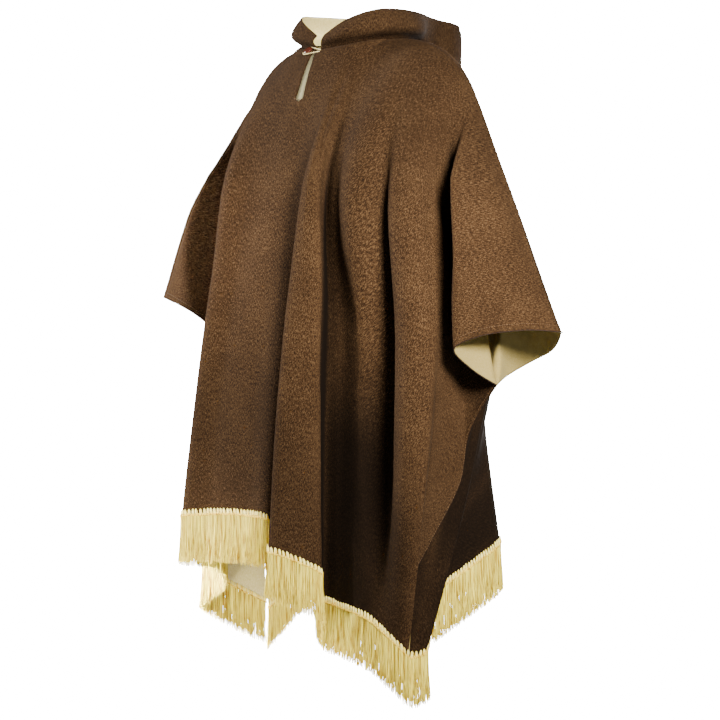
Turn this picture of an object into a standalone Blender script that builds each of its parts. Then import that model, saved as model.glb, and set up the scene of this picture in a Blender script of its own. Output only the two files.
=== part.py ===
"""A hooded andean poncho of double-faced wool, worn open over a general figure.

Metres, +Z up. The wearer faces -Y, the wearer's left is +X, and the origin is the middle of the
neck hole on the shoulder fold. Every panel is a wall worked out from fold lines: each line runs
from the shoulder fold or the neck hole to the panel's border, and a spline joins the lines.
"""

import math

import bpy
import numpy as np
from mathutils import Vector

# The cut of the cloth.
HALF_WIDTH = 0.70  # along the shoulder fold, from the neck's middle to the sleeve edge
HALF_LENGTH = 0.86  # from the shoulder fold to the hem
ARM_OPENING = 0.32  # from the shoulder fold to the start of the side seam
SIDE_SLIT = 0.13  # the open end of the side seam
WALL = 0.002
SEAM_WALL = 0.001  # the wall's thickness at its seams
SEAM_GAP = 0.0003
SEAM_SHARE = 0.7  # of the gap, left by each panel
CUSP_SHARE = 0.35  # of the seam's thickness, left at the arm opening's corner
SHOULDER_BEND = 0.5  # how much the bend at a shoulder seam counts in its normals
SIDE_BEND = 1.0  # the same at a side seam

# The neck hole, an ellipse cut across the shoulder fold, and the slit below its front.
NECK_HALF_WIDTH = 0.090
NECK_FRONT = 0.094
NECK_BACK = 0.070
NECK_DIP = 0.018  # how far the front of the neck hole lies below the shoulder fold
SLIT_GAP_TOP = 0.005
SLIT_GAP_END = 0.011

# The shoulder fold runs level to FALL_START, and is at the arm's angle from FALL_END on.
FALL_START = 0.06
FALL_END = 0.34
LEFT_ARM_ANGLE = 64.0
RIGHT_ARM_ANGLE = 60.0
RIGHT_ARM_FORWARD = 0.020
SHOULDER_STEPS = 140

# How far down a fold line its chest and waist points lie, as shares of the line.
CHEST = 0.25
WAIST = 0.55
ROLL_OVER = 0.10  # the share of a line that turns from lying on the shoulder to hanging

# Border distances, from the middle of the hem: along the hem, up the side, round the arm opening.
CORNER = HALF_WIDTH
UNDERARM = HALF_WIDTH + HALF_LENGTH - ARM_OPENING
SLEEVE_TIP = HALF_WIDTH + HALF_LENGTH
SHOULDER_SPAN = 0.34  # fold lines start within this distance of the neck's middle
SLEEVE_START = 0.26  # lines that start beyond this fall straight, as a sleeve does

NEARLY = 1e-6

# Fringe.
TRIM_HEIGHT = 0.015
TRIM_BELOW = 0.003
TRIM_THICKNESS = 0.0016
TRIM_GAP = 0.0005
STRAND_PITCH = 0.0105
STRAND_SHARE = 0.60  # of the pitch
STRAND_LENGTH = 0.075
STRAND_UNEVEN = 0.05  # how much longer or shorter a strand may be
STRAND_RHYTHM = 2.4  # radians from one ring of the strip to the next
STRAND_TAPER = 0.55
STRAND_CLEARANCE = 0.0075  # strands that would stand nearer than this to another are left out

# The button on the wearer's right of the slit, and the cord loop that holds it from the left.
BUTTON_RADIUS = 0.0078
BUTTON_THICKNESS = 0.0036
BUTTON_ROUNDING = 0.0012
BUTTON_ACROSS = -0.0150
BUTTON_SHARE = 0.030  # of the fold lines, below the neck hole
BUTTON_LIFT = 0.0008
LOOP_RADIUS = 0.0010
LOOP_CLEARANCE = 0.0006
LOOP_END_ACROSS = 0.0120
LOOP_TURN_POINTS = 13
LOOP_RUN_POINTS = 4

# Each fold line of the front: where it starts along the shoulder, where it ends along the border,
# and how far it lies across and forward at the chest and at the waist.
# name, start, border, chest across, chest forward, waist across, waist forward, cells before it
FRONT_LINES = [
    ("right_sleeve_front", -0.320, -1.45, -0.292, 0.050, -0.360, 0.070, 2),
    ("right_sleeve_fold", -0.305, -1.35, -0.266, 0.078, -0.320, 0.098, 2),
    ("right_sleeve_root", -0.292, -1.28, -0.248, 0.052, -0.276, 0.044, 1),
    ("right_underarm", -0.280, -UNDERARM, -0.234, 0.050, -0.262, 0.042, 1),
    ("right_side", -0.265, -1.03, -0.222, 0.058, -0.258, 0.055, 2),
    ("right_slit", -0.252, -CORNER - SIDE_SLIT, -0.212, 0.066, -0.260, 0.068, 1),
    ("right_corner", -0.240, -CORNER, -0.205, 0.072, -0.258, 0.078, 2),
    ("right_side_fold", -0.210, -0.58, -0.192, 0.085, -0.240, 0.102, 2),
    ("right_flank", -0.185, -0.46, -0.180, 0.092, -0.212, 0.118, 2),
    ("right_valley", -0.160, -0.36, -0.165, 0.104, -0.162, 0.128, 2),
    ("right_turn", -0.140, -0.26, -0.148, 0.125, -0.132, 0.170, 2),
    ("right_front_edge", -0.115, -0.17, -0.132, 0.148, -0.118, 0.220, 2),
    ("right_flat", -0.060, -0.08, -0.066, 0.155, -0.062, 0.218, 3),
    ("centre", 0.000, 0.00, 0.000, 0.154, 0.000, 0.209, 3),
    ("left_flat", 0.045, 0.065, 0.042, 0.153, 0.054, 0.201, 2),
    ("pipe_left_root", 0.062, 0.115, 0.058, 0.153, 0.066, 0.192, 2),
    ("pipe_left_root_end", 0.070, 0.145, 0.066, 0.154, 0.080, 0.192, 1),
    ("pipe_left_side", 0.078, 0.205, 0.072, 0.165, 0.082, 0.232, 2),
    ("pipe_crest", 0.090, 0.26, 0.086, 0.170, 0.110, 0.234, 2),
    ("pipe_right_side", 0.100, 0.32, 0.097, 0.163, 0.135, 0.213, 2),
    ("pipe_right_root", 0.109, 0.385, 0.094, 0.150, 0.110, 0.192, 2),
    ("pipe_right_root_end", 0.116, 0.415, 0.096, 0.145, 0.110, 0.180, 1),
    ("trough", 0.130, 0.45, 0.115, 0.153, 0.140, 0.180, 2),
    ("middle_bulge", 0.155, 0.51, 0.158, 0.164, 0.188, 0.198, 2),
    ("middle_valley", 0.190, 0.56, 0.204, 0.134, 0.246, 0.154, 2),
    ("side_fold_edge", 0.205, 0.60, 0.222, 0.141, 0.272, 0.188, 2),
    ("side_fold_crest", 0.222, 0.65, 0.248, 0.130, 0.304, 0.197, 2),
    ("left_corner", 0.240, CORNER, 0.262, 0.115, 0.330, 0.172, 2),
    ("left_slit", 0.252, CORNER + SIDE_SLIT, 0.267, 0.105, 0.324, 0.150, 1),
    ("left_side", 0.265, 1.03, 0.270, 0.092, 0.312, 0.120, 2),
    ("left_underarm", 0.280, UNDERARM, 0.268, 0.064, 0.284, 0.056, 3),
    ("left_sleeve_root", 0.292, 1.28, 0.281, 0.062, 0.300, 0.056, 1),
    ("left_sleeve_fold", 0.308, 1.35, 0.306, 0.096, 0.352, 0.148, 3),
    ("left_sleeve_front", 0.320, 1.45, 0.315, 0.055, 0.365, 0.085, 2),
]

# The same for the back, with forward distances below zero.
BACK_LINES = [
    ("right_sleeve_back", -0.320, -1.45, -0.300, -0.045, -0.365, -0.045),
    ("right_sleeve_fold", -0.305, -1.35, -0.275, -0.062, -0.335, -0.055),
    ("right_sleeve_root", -0.292, -1.28, -0.258, -0.060, -0.305, -0.028),
    ("right_underarm", -0.280, -UNDERARM, -0.248, -0.062, -0.288, -0.022),
    ("right_side", -0.265, -1.03, -0.240, -0.070, -0.278, -0.030),
    ("right_slit", -0.252, -CORNER - SIDE_SLIT, -0.230, -0.076, -0.270, -0.045),
    ("right_corner", -0.240, -CORNER, -0.222, -0.082, -0.266, -0.065),
    ("right_ridge_3", -0.215, -0.60, -0.212, -0.105, -0.262, -0.125),
    ("right_valley_3", -0.185, -0.50, -0.184, -0.112, -0.218, -0.114),
    ("right_ridge_2", -0.155, -0.40, -0.160, -0.138, -0.205, -0.162),
    ("right_valley_2", -0.115, -0.29, -0.120, -0.142, -0.150, -0.154),
    ("right_ridge_1", -0.075, -0.18, -0.082, -0.157, -0.118, -0.198),
    ("right_valley_1", -0.038, -0.09, -0.042, -0.155, -0.066, -0.182),
    ("centre", 0.000, 0.00, 0.000, -0.160, 0.000, -0.194),
    ("left_ridge_1", 0.045, 0.085, 0.052, -0.158, 0.072, -0.194),
    ("left_valley_1", 0.085, 0.18, 0.095, -0.142, 0.096, -0.150),
    ("left_ridge_2", 0.125, 0.27, 0.138, -0.132, 0.148, -0.130),
    ("left_valley_2", 0.165, 0.36, 0.165, -0.104, 0.178, -0.074),
    ("left_ridge_3", 0.200, 0.45, 0.195, -0.084, 0.212, -0.066),
    ("left_side_crest", 0.222, 0.59, 0.204, -0.086, 0.244, -0.078),
    ("left_side_hollow", 0.231, 0.645, 0.210, -0.076, 0.247, -0.050),
    ("left_corner", 0.240, CORNER, 0.218, -0.066, 0.256, -0.024),
    ("left_slit", 0.252, CORNER + SIDE_SLIT, 0.226, -0.058, 0.266, -0.034),
    ("left_side", 0.265, 1.03, 0.233, -0.052, 0.286, -0.014),
    ("left_underarm", 0.280, UNDERARM, 0.242, -0.046, 0.298, -0.012),
    ("left_sleeve_root", 0.292, 1.28, 0.250, -0.042, 0.308, -0.018),
    ("left_sleeve_fold", 0.308, 1.35, 0.266, -0.042, 0.318, -0.038),
    ("left_sleeve_back", 0.320, 1.45, 0.282, -0.030, 0.336, -0.032),
]

# The hems: distance from the middle along the border, across, forward, drop.
FRONT_HEM = [
    (-0.70, -0.262, -0.020, 0.970),
    (-0.58, -0.284, 0.075, 0.915),
    (-0.46, -0.262, 0.122, 0.882),
    (-0.36, -0.178, 0.140, 0.835),
    (-0.26, -0.125, 0.200, 0.796),
    (-0.17, -0.130, 0.268, 0.777),
    (-0.08, -0.070, 0.264, 0.764),
    (0.00, 0.000, 0.250, 0.760),
    (0.065, 0.060, 0.240, 0.765),
    (0.115, 0.068, 0.206, 0.778),
    (0.145, 0.084, 0.204, 0.784),
    (0.205, 0.082, 0.273, 0.800),
    (0.26, 0.120, 0.262, 0.814),
    (0.32, 0.146, 0.226, 0.838),
    (0.385, 0.112, 0.207, 0.872),
    (0.415, 0.112, 0.191, 0.886),
    (0.45, 0.148, 0.193, 0.892),
    (0.51, 0.203, 0.203, 0.896),
    (0.56, 0.243, 0.203, 0.907),
    (0.60, 0.268, 0.201, 0.920),
    (0.65, 0.284, 0.194, 0.934),
    (0.70, 0.295, 0.185, 0.949),
]
BACK_HEM = [
    (-0.70, -0.270, -0.060, 0.975),
    (-0.60, -0.282, -0.150, 0.915),
    (-0.50, -0.225, -0.108, 0.870),
    (-0.40, -0.215, -0.195, 0.842),
    (-0.29, -0.142, -0.152, 0.822),
    (-0.18, -0.130, -0.235, 0.808),
    (-0.09, -0.070, -0.192, 0.802),
    (0.00, 0.000, -0.215, 0.800),
    (0.085, 0.080, -0.214, 0.801),
    (0.18, 0.098, -0.132, 0.805),
    (0.27, 0.168, -0.128, 0.811),
    (0.36, 0.188, -0.052, 0.818),
    (0.45, 0.256, -0.044, 0.830),
    (0.59, 0.266, 0.096, 0.880),
    (0.645, 0.282, 0.126, 0.914),
    (0.70, 0.298, 0.160, 0.958),
]

# The sides, from the sleeve tip down: distance from the shoulder fold, across, forward, drop.
LEFT_SIDE_FRONT = [
    (0.08, 0.420, 0.070, 0.456),
    (0.15, 0.392, 0.135, 0.464),
    (0.21, 0.366, 0.160, 0.484),
    (0.26, 0.366, 0.125, 0.512),
]
LEFT_SIDE_BACK = [
    (0.08, 0.390, -0.045, 0.484),
    (0.15, 0.350, -0.072, 0.500),
    (0.21, 0.332, -0.045, 0.516),
    (0.26, 0.345, 0.015, 0.530),
]
LEFT_SEAM = [
    (0.32, 0.380, 0.080, 0.540),
    (0.40, 0.326, 0.0755, 0.604),
    (0.53, 0.300, 0.0800, 0.704),
    (0.63, 0.284, 0.120, 0.780),
    (0.73, 0.273, 0.150, 0.832),
]
RIGHT_SIDE_FRONT = [
    (0.08, 0.415, 0.085, 0.430),
    (0.15, 0.345, 0.112, 0.438),
    (0.21, 0.300, 0.100, 0.460),
    (0.26, 0.298, 0.060, 0.490),
]
RIGHT_SIDE_BACK = [
    (0.08, 0.410, -0.040, 0.452),
    (0.15, 0.370, -0.065, 0.474),
    (0.21, 0.335, -0.050, 0.492),
    (0.26, 0.318, -0.010, 0.506),
]
RIGHT_SEAM = [
    (0.32, 0.310, 0.020, 0.520),
    (0.50, 0.280, 0.008, 0.665),
    (0.73, 0.266, -0.018, 0.850),
]

# Shares of a fold line where the walls have a row of corners.
TRIM_TOP = 1 - TRIM_HEIGHT / HALF_LENGTH
ROWS = [0, 0.03, 0.07, 0.12, 0.17, 0.176, 0.25, 0.33, 0.42]
ROWS += [0.51, 0.60, 0.69, 0.78, 0.86, 0.93, TRIM_TOP, 1]
SLIT_END_ROW = 4

# The left half of the hood, from the front of the neck hole round to its crown seam, as sections:
# lower edge across, behind, up; belly across, behind, up; rim across, behind, up.
HOOD_SECTIONS = [
    (0.0045, -0.091, -0.0146, 0.010, -0.096, -0.004, 0.009, -0.088, 0.006),
    (0.044, -0.078, -0.0106, 0.059, -0.090, 0.006, 0.053, -0.077, 0.030),
    (0.073, -0.051, -0.0036, 0.100, -0.058, 0.013, 0.086, -0.048, 0.044),
    (0.088, 0.000, 0.0029, 0.113, -0.004, 0.018, 0.094, -0.004, 0.047),
    (0.069, 0.043, 0.0034, 0.096, 0.050, 0.016, 0.076, 0.060, 0.047),
    (0.034, 0.066, 0.0034, 0.054, 0.094, 0.008, 0.044, 0.120, 0.046),
    (0.005, 0.082, 0.0009, 0.026, 0.135, -0.014, 0.024, 0.168, 0.045),
    (0.0035, 0.152, -0.072, 0.020, 0.188, -0.036, 0.014, 0.210, 0.043),
    (0.0025, 0.195, -0.185, 0.005, 0.232, -0.075, 0.003, 0.240, 0.039),
]
HOOD_SECTION_CELLS = 2
HOOD_HEIGHT_CELLS = 6

# Each piece's material: name, linear colour, roughness.
BROWN_WOOL = (0.10, 0.055, 0.03)
CREAM_YARN = (0.85, 0.72, 0.42)
FINISHES = {
    "front_panel": ("front_wool_cloth", BROWN_WOOL, 0.95),
    "back_panel": ("back_wool_cloth", BROWN_WOOL, 0.95),
    "hood_left": ("hood_left_wool_cloth", BROWN_WOOL, 0.95),
    "hood_right": ("hood_right_wool_cloth", BROWN_WOOL, 0.95),
    "front_fringe": ("front_fringe_yarn", CREAM_YARN, 0.80),
    "back_fringe": ("back_fringe_yarn", CREAM_YARN, 0.80),
    "button": ("brown_horn", (0.10, 0.02, 0.01), 0.25),
    "button_loop": ("cream_satin_cord", (0.80, 0.74, 0.55), 0.40),
}


def smooth(share):
    share = min(max(share, 0.0), 1.0)
    return share * share * (3 - 2 * share)


def spline(knots, values, at):
    """A smooth curve through the values at the knots, read at the places in at."""
    knots = np.asarray(knots, float)
    values = np.asarray(values, float)
    gaps = np.diff(knots)
    slopes = np.diff(values, axis=0) / gaps[:, None]
    inner = (gaps[1:, None] * slopes[:-1] + gaps[:-1, None] * slopes[1:]) / (gaps[1:] + gaps[:-1])[:, None]
    first = 1.5 * slopes[:1] - 0.5 * inner[:1]
    last = 1.5 * slopes[-1:] - 0.5 * inner[-1:]
    tangents = np.concatenate([first, inner, last])
    at = np.clip(np.asarray(at, float), knots[0], knots[-1])
    cell = np.clip(np.searchsorted(knots, at, side="right") - 1, 0, len(gaps) - 1)
    gap = gaps[cell][:, None]
    share = ((at - knots[cell]) / gaps[cell])[:, None]
    return (
        values[cell] * (1 + 2 * share) * (1 - share) ** 2
        + values[cell + 1] * share**2 * (3 - 2 * share)
        + gap * tangents[cell] * share * (1 - share) ** 2
        - gap * tangents[cell + 1] * share**2 * (1 - share)
    )


def shoulder_fold(angle, forward):
    """The shoulder fold's distances from the neck's middle, and its points for the left side."""
    steps = np.linspace(0.0, HALF_WIDTH, SHOULDER_STEPS + 1)
    step = steps[1] - steps[0]
    middles = (steps[1:] + steps[:-1]) / 2
    slopes = np.radians([angle * smooth((m - FALL_START) / (FALL_END - FALL_START)) for m in middles])
    across = np.concatenate([[0.0], np.cumsum(np.cos(slopes) * step)])
    drop = np.concatenate([[0.0], np.cumsum(np.sin(slopes) * step)])
    ahead = forward * (steps / HALF_WIDTH) ** 2
    return steps, np.stack([across, -ahead, -drop], axis=1)


SHOULDERS = {
    1: shoulder_fold(LEFT_ARM_ANGLE, 0.0),
    -1: shoulder_fold(RIGHT_ARM_ANGLE, RIGHT_ARM_FORWARD),
}


def shoulder_point(along):
    """The shoulder fold at a distance from the neck's middle, below zero on the right."""
    side = 1 if along >= 0 else -1
    steps, points = SHOULDERS[side]
    point = [np.interp(abs(along), steps, points[:, axis]) for axis in range(3)]
    return np.array([side * point[0], point[1], point[2]])


def neck_point(along, front):
    """The edge of the neck hole in front of or behind the shoulder fold."""
    share = math.sqrt(max(1 - (along / NECK_HALF_WIDTH) ** 2, 0.0))
    base = shoulder_point(along)
    if front:
        return base + np.array([0.0, -NECK_FRONT * share, -NECK_DIP * share**2])
    return base + np.array([0.0, NECK_BACK * share, 0.0])


def top_point(along, front):
    if abs(along) < NECK_HALF_WIDTH:
        return neck_point(along, front)
    return shoulder_point(along)


def side_curve(side, front, corner):
    """The side edge from the sleeve tip to the corner, as distances and points."""
    opening = {
        (1, True): LEFT_SIDE_FRONT,
        (1, False): LEFT_SIDE_BACK,
        (-1, True): RIGHT_SIDE_FRONT,
        (-1, False): RIGHT_SIDE_BACK,
    }[side, front]
    seam = LEFT_SEAM if side == 1 else RIGHT_SEAM
    tip = shoulder_point(side * HALF_WIDTH)
    rows = opening + seam
    knots = [0.0] + [row[0] for row in rows] + [HALF_LENGTH]
    points = [tip] + [(side * row[1], -row[2], -row[3]) for row in rows] + [corner]
    return knots, np.array(points)


def side_point(side, front, corner, down):
    """A point of the side edge. Above and below the slit's top the two panels share one curve."""
    knots, points = side_curve(side, front, corner)
    seam_start = knots.index(ARM_OPENING)
    if down <= ARM_OPENING:
        return spline(knots[: seam_start + 1], points[: seam_start + 1], [down])[0]
    if down <= HALF_LENGTH - SIDE_SLIT:
        return spline(knots[seam_start:-1], points[seam_start:-1], [down])[0]
    share = (down - HALF_LENGTH + SIDE_SLIT) / SIDE_SLIT
    return points[-2] + (points[-1] - points[-2]) * share


def column_places():
    """The places along the shoulder where the walls have a column, shared by both panels."""
    starts = [-SHOULDER_SPAN] + [row[1] for row in FRONT_LINES] + [SHOULDER_SPAN]
    cells = [row[7] for row in FRONT_LINES] + [2]
    places = [starts[0]]
    for low, high, count in zip(starts, starts[1:], cells):
        places += [low + (high - low) * (k + 1) / count for k in range(count)]
    return places


def fan(front, places, rows):
    """The panel's surface: one column of points for each place, one row for each share."""
    lines = FRONT_LINES if front else BACK_LINES
    hem = FRONT_HEM if front else BACK_HEM
    starts = [row[1] for row in lines]
    sleeve_span = HALF_WIDTH - SHOULDER_SPAN
    outer = [
        shoulder_point(side * (SHOULDER_SPAN + share * sleeve_span))
        for side in (-1, 1)
        for share in (CHEST, WAIST)
    ]
    chest = [outer[0][:2]] + [(row[3], -row[4]) for row in lines] + [outer[2][:2]]
    waist = [outer[1][:2]] + [(row[5], -row[6]) for row in lines] + [outer[3][:2]]
    knots = [-SHOULDER_SPAN] + starts + [SHOULDER_SPAN]
    borders = [-SLEEVE_TIP] + [row[2] for row in lines] + [SLEEVE_TIP]
    chest = spline(knots, chest, places)
    waist = spline(knots, waist, places)
    border = np.interp(places, knots, borders)
    hem_knots = [start for start, edge in zip(knots, borders) if abs(edge) <= CORNER]
    hem_points = np.array([(row[1], -row[2], -row[3]) for row in hem])
    columns = []
    for number, place in enumerate(places):
        side = 1 if place >= 0 else -1
        if abs(place) == SHOULDER_SPAN:
            along = [SHOULDER_SPAN + share * sleeve_span for share in rows]
            columns.append([shoulder_point(side * distance) for distance in along])
            continue
        if abs(border[number]) <= CORNER:
            end = spline(hem_knots, hem_points, [place])[0]
        else:
            corner = hem_points[-1] if side == 1 else hem_points[0]
            end = side_point(side, front, corner, HALF_WIDTH + HALF_LENGTH - abs(border[number]))
        top = top_point(place, front)
        plan = np.array([top[:2], chest[number], waist[number], end[:2]])
        shares = np.array([0.0, CHEST, WAIST, 1.0])
        path = spline(shares, plan, rows)
        sleeve = smooth((abs(place) - SLEEVE_START) / (SHOULDER_SPAN - SLEEVE_START))
        straight = np.array(rows)
        hang = np.hypot(straight, ROLL_OVER) - ROLL_OVER
        hang /= math.hypot(1, ROLL_OVER) - ROLL_OVER
        fall = hang + (straight - hang) * sleeve
        height = top[2] + (end[2] - top[2]) * fall
        columns.append(np.column_stack([path, height]))
    return np.array(columns).transpose(1, 0, 2)


def unit(vectors):
    return vectors / np.maximum(np.linalg.norm(vectors, axis=-1, keepdims=True), 1e-9)


def tangents(grid, axis):
    """The direction of a grid's lines at each point, halfway between its two neighbours' directions."""
    steps = unit(np.diff(grid, axis=axis))
    first = np.take(steps, [0], axis=axis)
    last = np.take(steps, [-1], axis=axis)
    return np.concatenate([first, steps], axis=axis) + np.concatenate([steps, last], axis=axis)


def grid_normals(grid, outward):
    """Unit normals of a grid of points, each halfway between its cells'. outward is 1 or -1."""
    falling = grid[1:, 1:] - grid[:-1, :-1]
    rising = grid[:-1, 1:] - grid[1:, :-1]
    cells = np.pad(unit(outward * np.cross(falling, rising)), ((1, 1), (1, 1), (0, 0)))
    return unit(cells[1:, 1:] + cells[1:, :-1] + cells[:-1, 1:] + cells[:-1, :-1])


def material(piece):
    name, colour, roughness = FINISHES[piece]
    made = bpy.data.materials.new(name)
    made.use_nodes = True
    shader = made.node_tree.nodes["Principled BSDF"]
    shader.inputs["Base Color"].default_value = (*colour, 1.0)
    shader.inputs["Roughness"].default_value = roughness
    return made


def mesh_object(name, points, faces, collection):
    mesh = bpy.data.meshes.new(name)
    mesh.from_pydata([tuple(map(float, point)) for point in points], [], faces)
    mesh.shade_smooth()
    mesh.materials.append(material(name))
    made = bpy.data.objects.new(name, mesh)
    collection.objects.link(made)
    return made


def wall(points, normals, quads, thickness):
    """Points and faces of a closed wall round a surface: outer side, inner side and rim."""
    count = len(points)
    outer = points + normals * thickness / 2
    inner = points - normals * thickness / 2
    faces = list(quads)
    # The inner quads start at the same corner, so that both sides bend along one diagonal.
    faces += [tuple(count + quad[k] for k in (0, 3, 2, 1)) for quad in quads]
    edges = {(quad[k], quad[(k + 1) % len(quad)]) for quad in quads for k in range(len(quad))}
    for start, end in sorted(edges):
        if (end, start) not in edges:
            faces.append((end, start, count + start, count + end))
    return np.concatenate([outer, inner]), faces


def seam_normals(border, front_inside, back_inside, front_normals, back_normals, share):
    """The normals halfway between two panels. At a knife edge they point out of, or into, the bend."""
    to_front = front_inside - border
    to_back = back_inside - border
    bend = -unit(unit(to_front) + unit(to_back))
    rise = np.sum(front_normals * to_back + back_normals * to_front, axis=-1, keepdims=True)
    return unit(front_normals + back_normals - np.sign(rise) * bend * share)


def seam_step(border, front_inside, back_inside, normals):
    """How far the front's border moves from a seam. The back's moves as far the other way."""
    across = unit(np.cross(normals, tangents(border, 0)))
    side = np.sign(np.sum(across * (front_inside - back_inside), axis=1, keepdims=True))
    return across * side * SEAM_GAP * SEAM_SHARE


def seam_runs(places):
    """The runs of columns that end at a seam: along each shoulder, and down each side seam."""
    starts = [-SHOULDER_SPAN] + [row[1] for row in FRONT_LINES] + [SHOULDER_SPAN]
    borders = [-SLEEVE_TIP] + [row[2] for row in FRONT_LINES] + [SLEEVE_TIP]
    down = HALF_WIDTH + HALF_LENGTH - np.abs(np.interp(places, starts, borders))
    low, high = ARM_OPENING - NEARLY, HALF_LENGTH - SIDE_SLIT + NEARLY
    runs = []
    for side in (-1, 1):
        own = [number for number, place in enumerate(places) if place * side > 0]
        runs.append((0, [number for number in own if abs(places[number]) >= NECK_HALF_WIDTH - NEARLY]))
        runs.append((-1, [number for number in own if low <= down[number] <= high]))
    return runs


def share_seams(front, back, places):
    """Gives the panels one normal along each seam, and moves their borders apart."""
    (front_grid, front_normals), (back_grid, back_normals) = front, back
    inside = {0: 1, -1: -2}
    edges = [((row, run), (inside[row], run)) for row, run in seam_runs(places)]
    edges += [((slice(1, None), column), (slice(1, None), inside[column])) for column in (0, -1)]
    steps = []
    for edge, beside in edges:
        points = (front_grid[edge], front_grid[beside], back_grid[beside])
        bend = SIDE_BEND if edge[0] == -1 else SHOULDER_BEND
        shared = seam_normals(*points, front_normals[edge], back_normals[edge], bend)
        if edge[0] == -1:
            # The arm opening's corner is a cusp, so half of its normal comes from its neighbour.
            ends = (0, 1) if places[edge[1][0]] < 0 else (-1, -2)
            shared[ends[0]] = unit(shared[ends[0]] + shared[ends[1]])
        step = seam_step(*points, shared)
        if edge[0] == -1:
            shared[ends[0]] *= CUSP_SHARE
        front_normals[edge] = back_normals[edge] = shared * SEAM_WALL / WALL
        steps.append(step)
    for (edge, _), step in zip(edges, steps):
        front_grid[edge] += step
        back_grid[edge] -= step


def build_panels(collection):
    places = column_places()
    front_grid = fan(True, places, ROWS)
    back_grid = fan(False, places, ROWS)
    front = (front_grid, grid_normals(front_grid, 1))
    back = (back_grid, grid_normals(back_grid, -1))
    share_seams(front, back, places)
    middle = places.index(0.0)
    panels = {"front_panel": (*front, 1), "back_panel": (*back, -1)}
    for name, (grid, normals, outward) in panels.items():
        rows, columns = grid.shape[:2]
        ids = np.arange(rows * columns).reshape(rows, columns)
        points = grid.reshape(-1, 3)
        flat_normals = normals.reshape(-1, 3)
        left_ids = ids.copy()
        if name == "front_panel":
            slit = np.arange(SLIT_END_ROW + 1)
            gaps = SLIT_GAP_TOP + (SLIT_GAP_END - SLIT_GAP_TOP) * slit / SLIT_END_ROW
            copies = points[ids[slit, middle]].copy()
            copies[:, 0] += gaps / 2
            points = points.copy()
            points[ids[slit, middle], 0] -= gaps / 2
            left_ids[slit, middle] = len(points) + slit
            points = np.concatenate([points, copies])
            flat_normals = np.concatenate([flat_normals, flat_normals[ids[slit, middle]]])
        quads = []
        for row in range(rows - 1):
            for column in range(columns - 1):
                near = left_ids if column == middle else ids
                far_side = (ids[row + 1, column + 1], ids[row, column + 1])
                quad = (near[row, column], near[row + 1, column], *far_side)
                quads.append(tuple(map(int, quad if outward == 1 else reversed(quad))))
        mesh_object(name, *wall(points, flat_normals, quads, WALL), collection)
    return panels


def build_fringe(name, panel, collection):
    """A strip on the panel's outer side along the hem, with strands fused to its lower edge."""
    grid, normals, outward = panel
    lines = FRONT_LINES if outward == 1 else BACK_LINES
    corners = [row[1] for row in lines if abs(row[2]) == CORNER]
    columns = [k for k, place in enumerate(column_places()) if corners[0] <= place <= corners[-1]]
    hem = grid[-1, columns]
    above = grid[-2, columns]
    below = hem - unit(above - hem) * TRIM_BELOW
    near = WALL / 2 + TRIM_GAP
    far = near + TRIM_THICKNESS
    upper = normals[-2, columns]
    lower = normals[-1, columns]
    edges = [above + upper * near, above + upper * far, below + lower * far, below + lower * near]
    order = np.arange(len(columns))
    lengths = np.linalg.norm(np.diff(hem, axis=0), axis=1)
    at = []
    for number, length in enumerate(lengths):
        count = max(1, round(length / STRAND_PITCH))
        for strand in range(count):
            at.append(number + strand / count)
            at.append(number + (strand + STRAND_SHARE) / count)
    at.append(float(len(lengths)))
    rings = np.stack([
        np.stack([np.interp(at, order, edge[:, axis]) for axis in range(3)], axis=1) for edge in edges
    ], axis=1)
    points = list(rings.reshape(-1, 3))
    faces = [(0, 1, 2, 3)]
    roots = []
    for ring in range(len(at) - 1):
        base = 4 * ring
        root = np.mean([points[base + 2], points[base + 3], points[base + 6], points[base + 7]], axis=0)
        apart = all(np.linalg.norm(root - other) > STRAND_CLEARANCE for other in roots)
        strand_here = ring % 2 == 0 and apart
        if strand_here:
            roots.append(root)
        for edge in range(4):
            following = (edge + 1) % 4
            quad = (base + edge, base + 4 + edge, base + 4 + following, base + following)
            if edge != 2 or not strand_here:
                faces.append(quad)
                continue
            # The lower edge of a strand's stretch of strip runs down into the strand.
            top = [base + 2, base + 3, base + 7, base + 6]
            length = STRAND_LENGTH * (1 + STRAND_UNEVEN * math.sin(STRAND_RHYTHM * ring))
            foot = len(points)
            for corner in top:
                tip = root + (points[corner] - root) * STRAND_TAPER
                tip[2] = root[2] - length
                points.append(tip)
            for k in range(4):
                after = (k + 1) % 4
                faces.append((top[k], foot + k, foot + after, top[after]))
            faces.append((foot + 3, foot + 2, foot + 1, foot))
    last = 4 * (len(at) - 1)
    faces.append((last + 3, last + 2, last + 1, last))
    if outward == 1:
        faces = [tuple(reversed(face)) for face in faces]
    return mesh_object(name, points, faces, collection)


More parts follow.
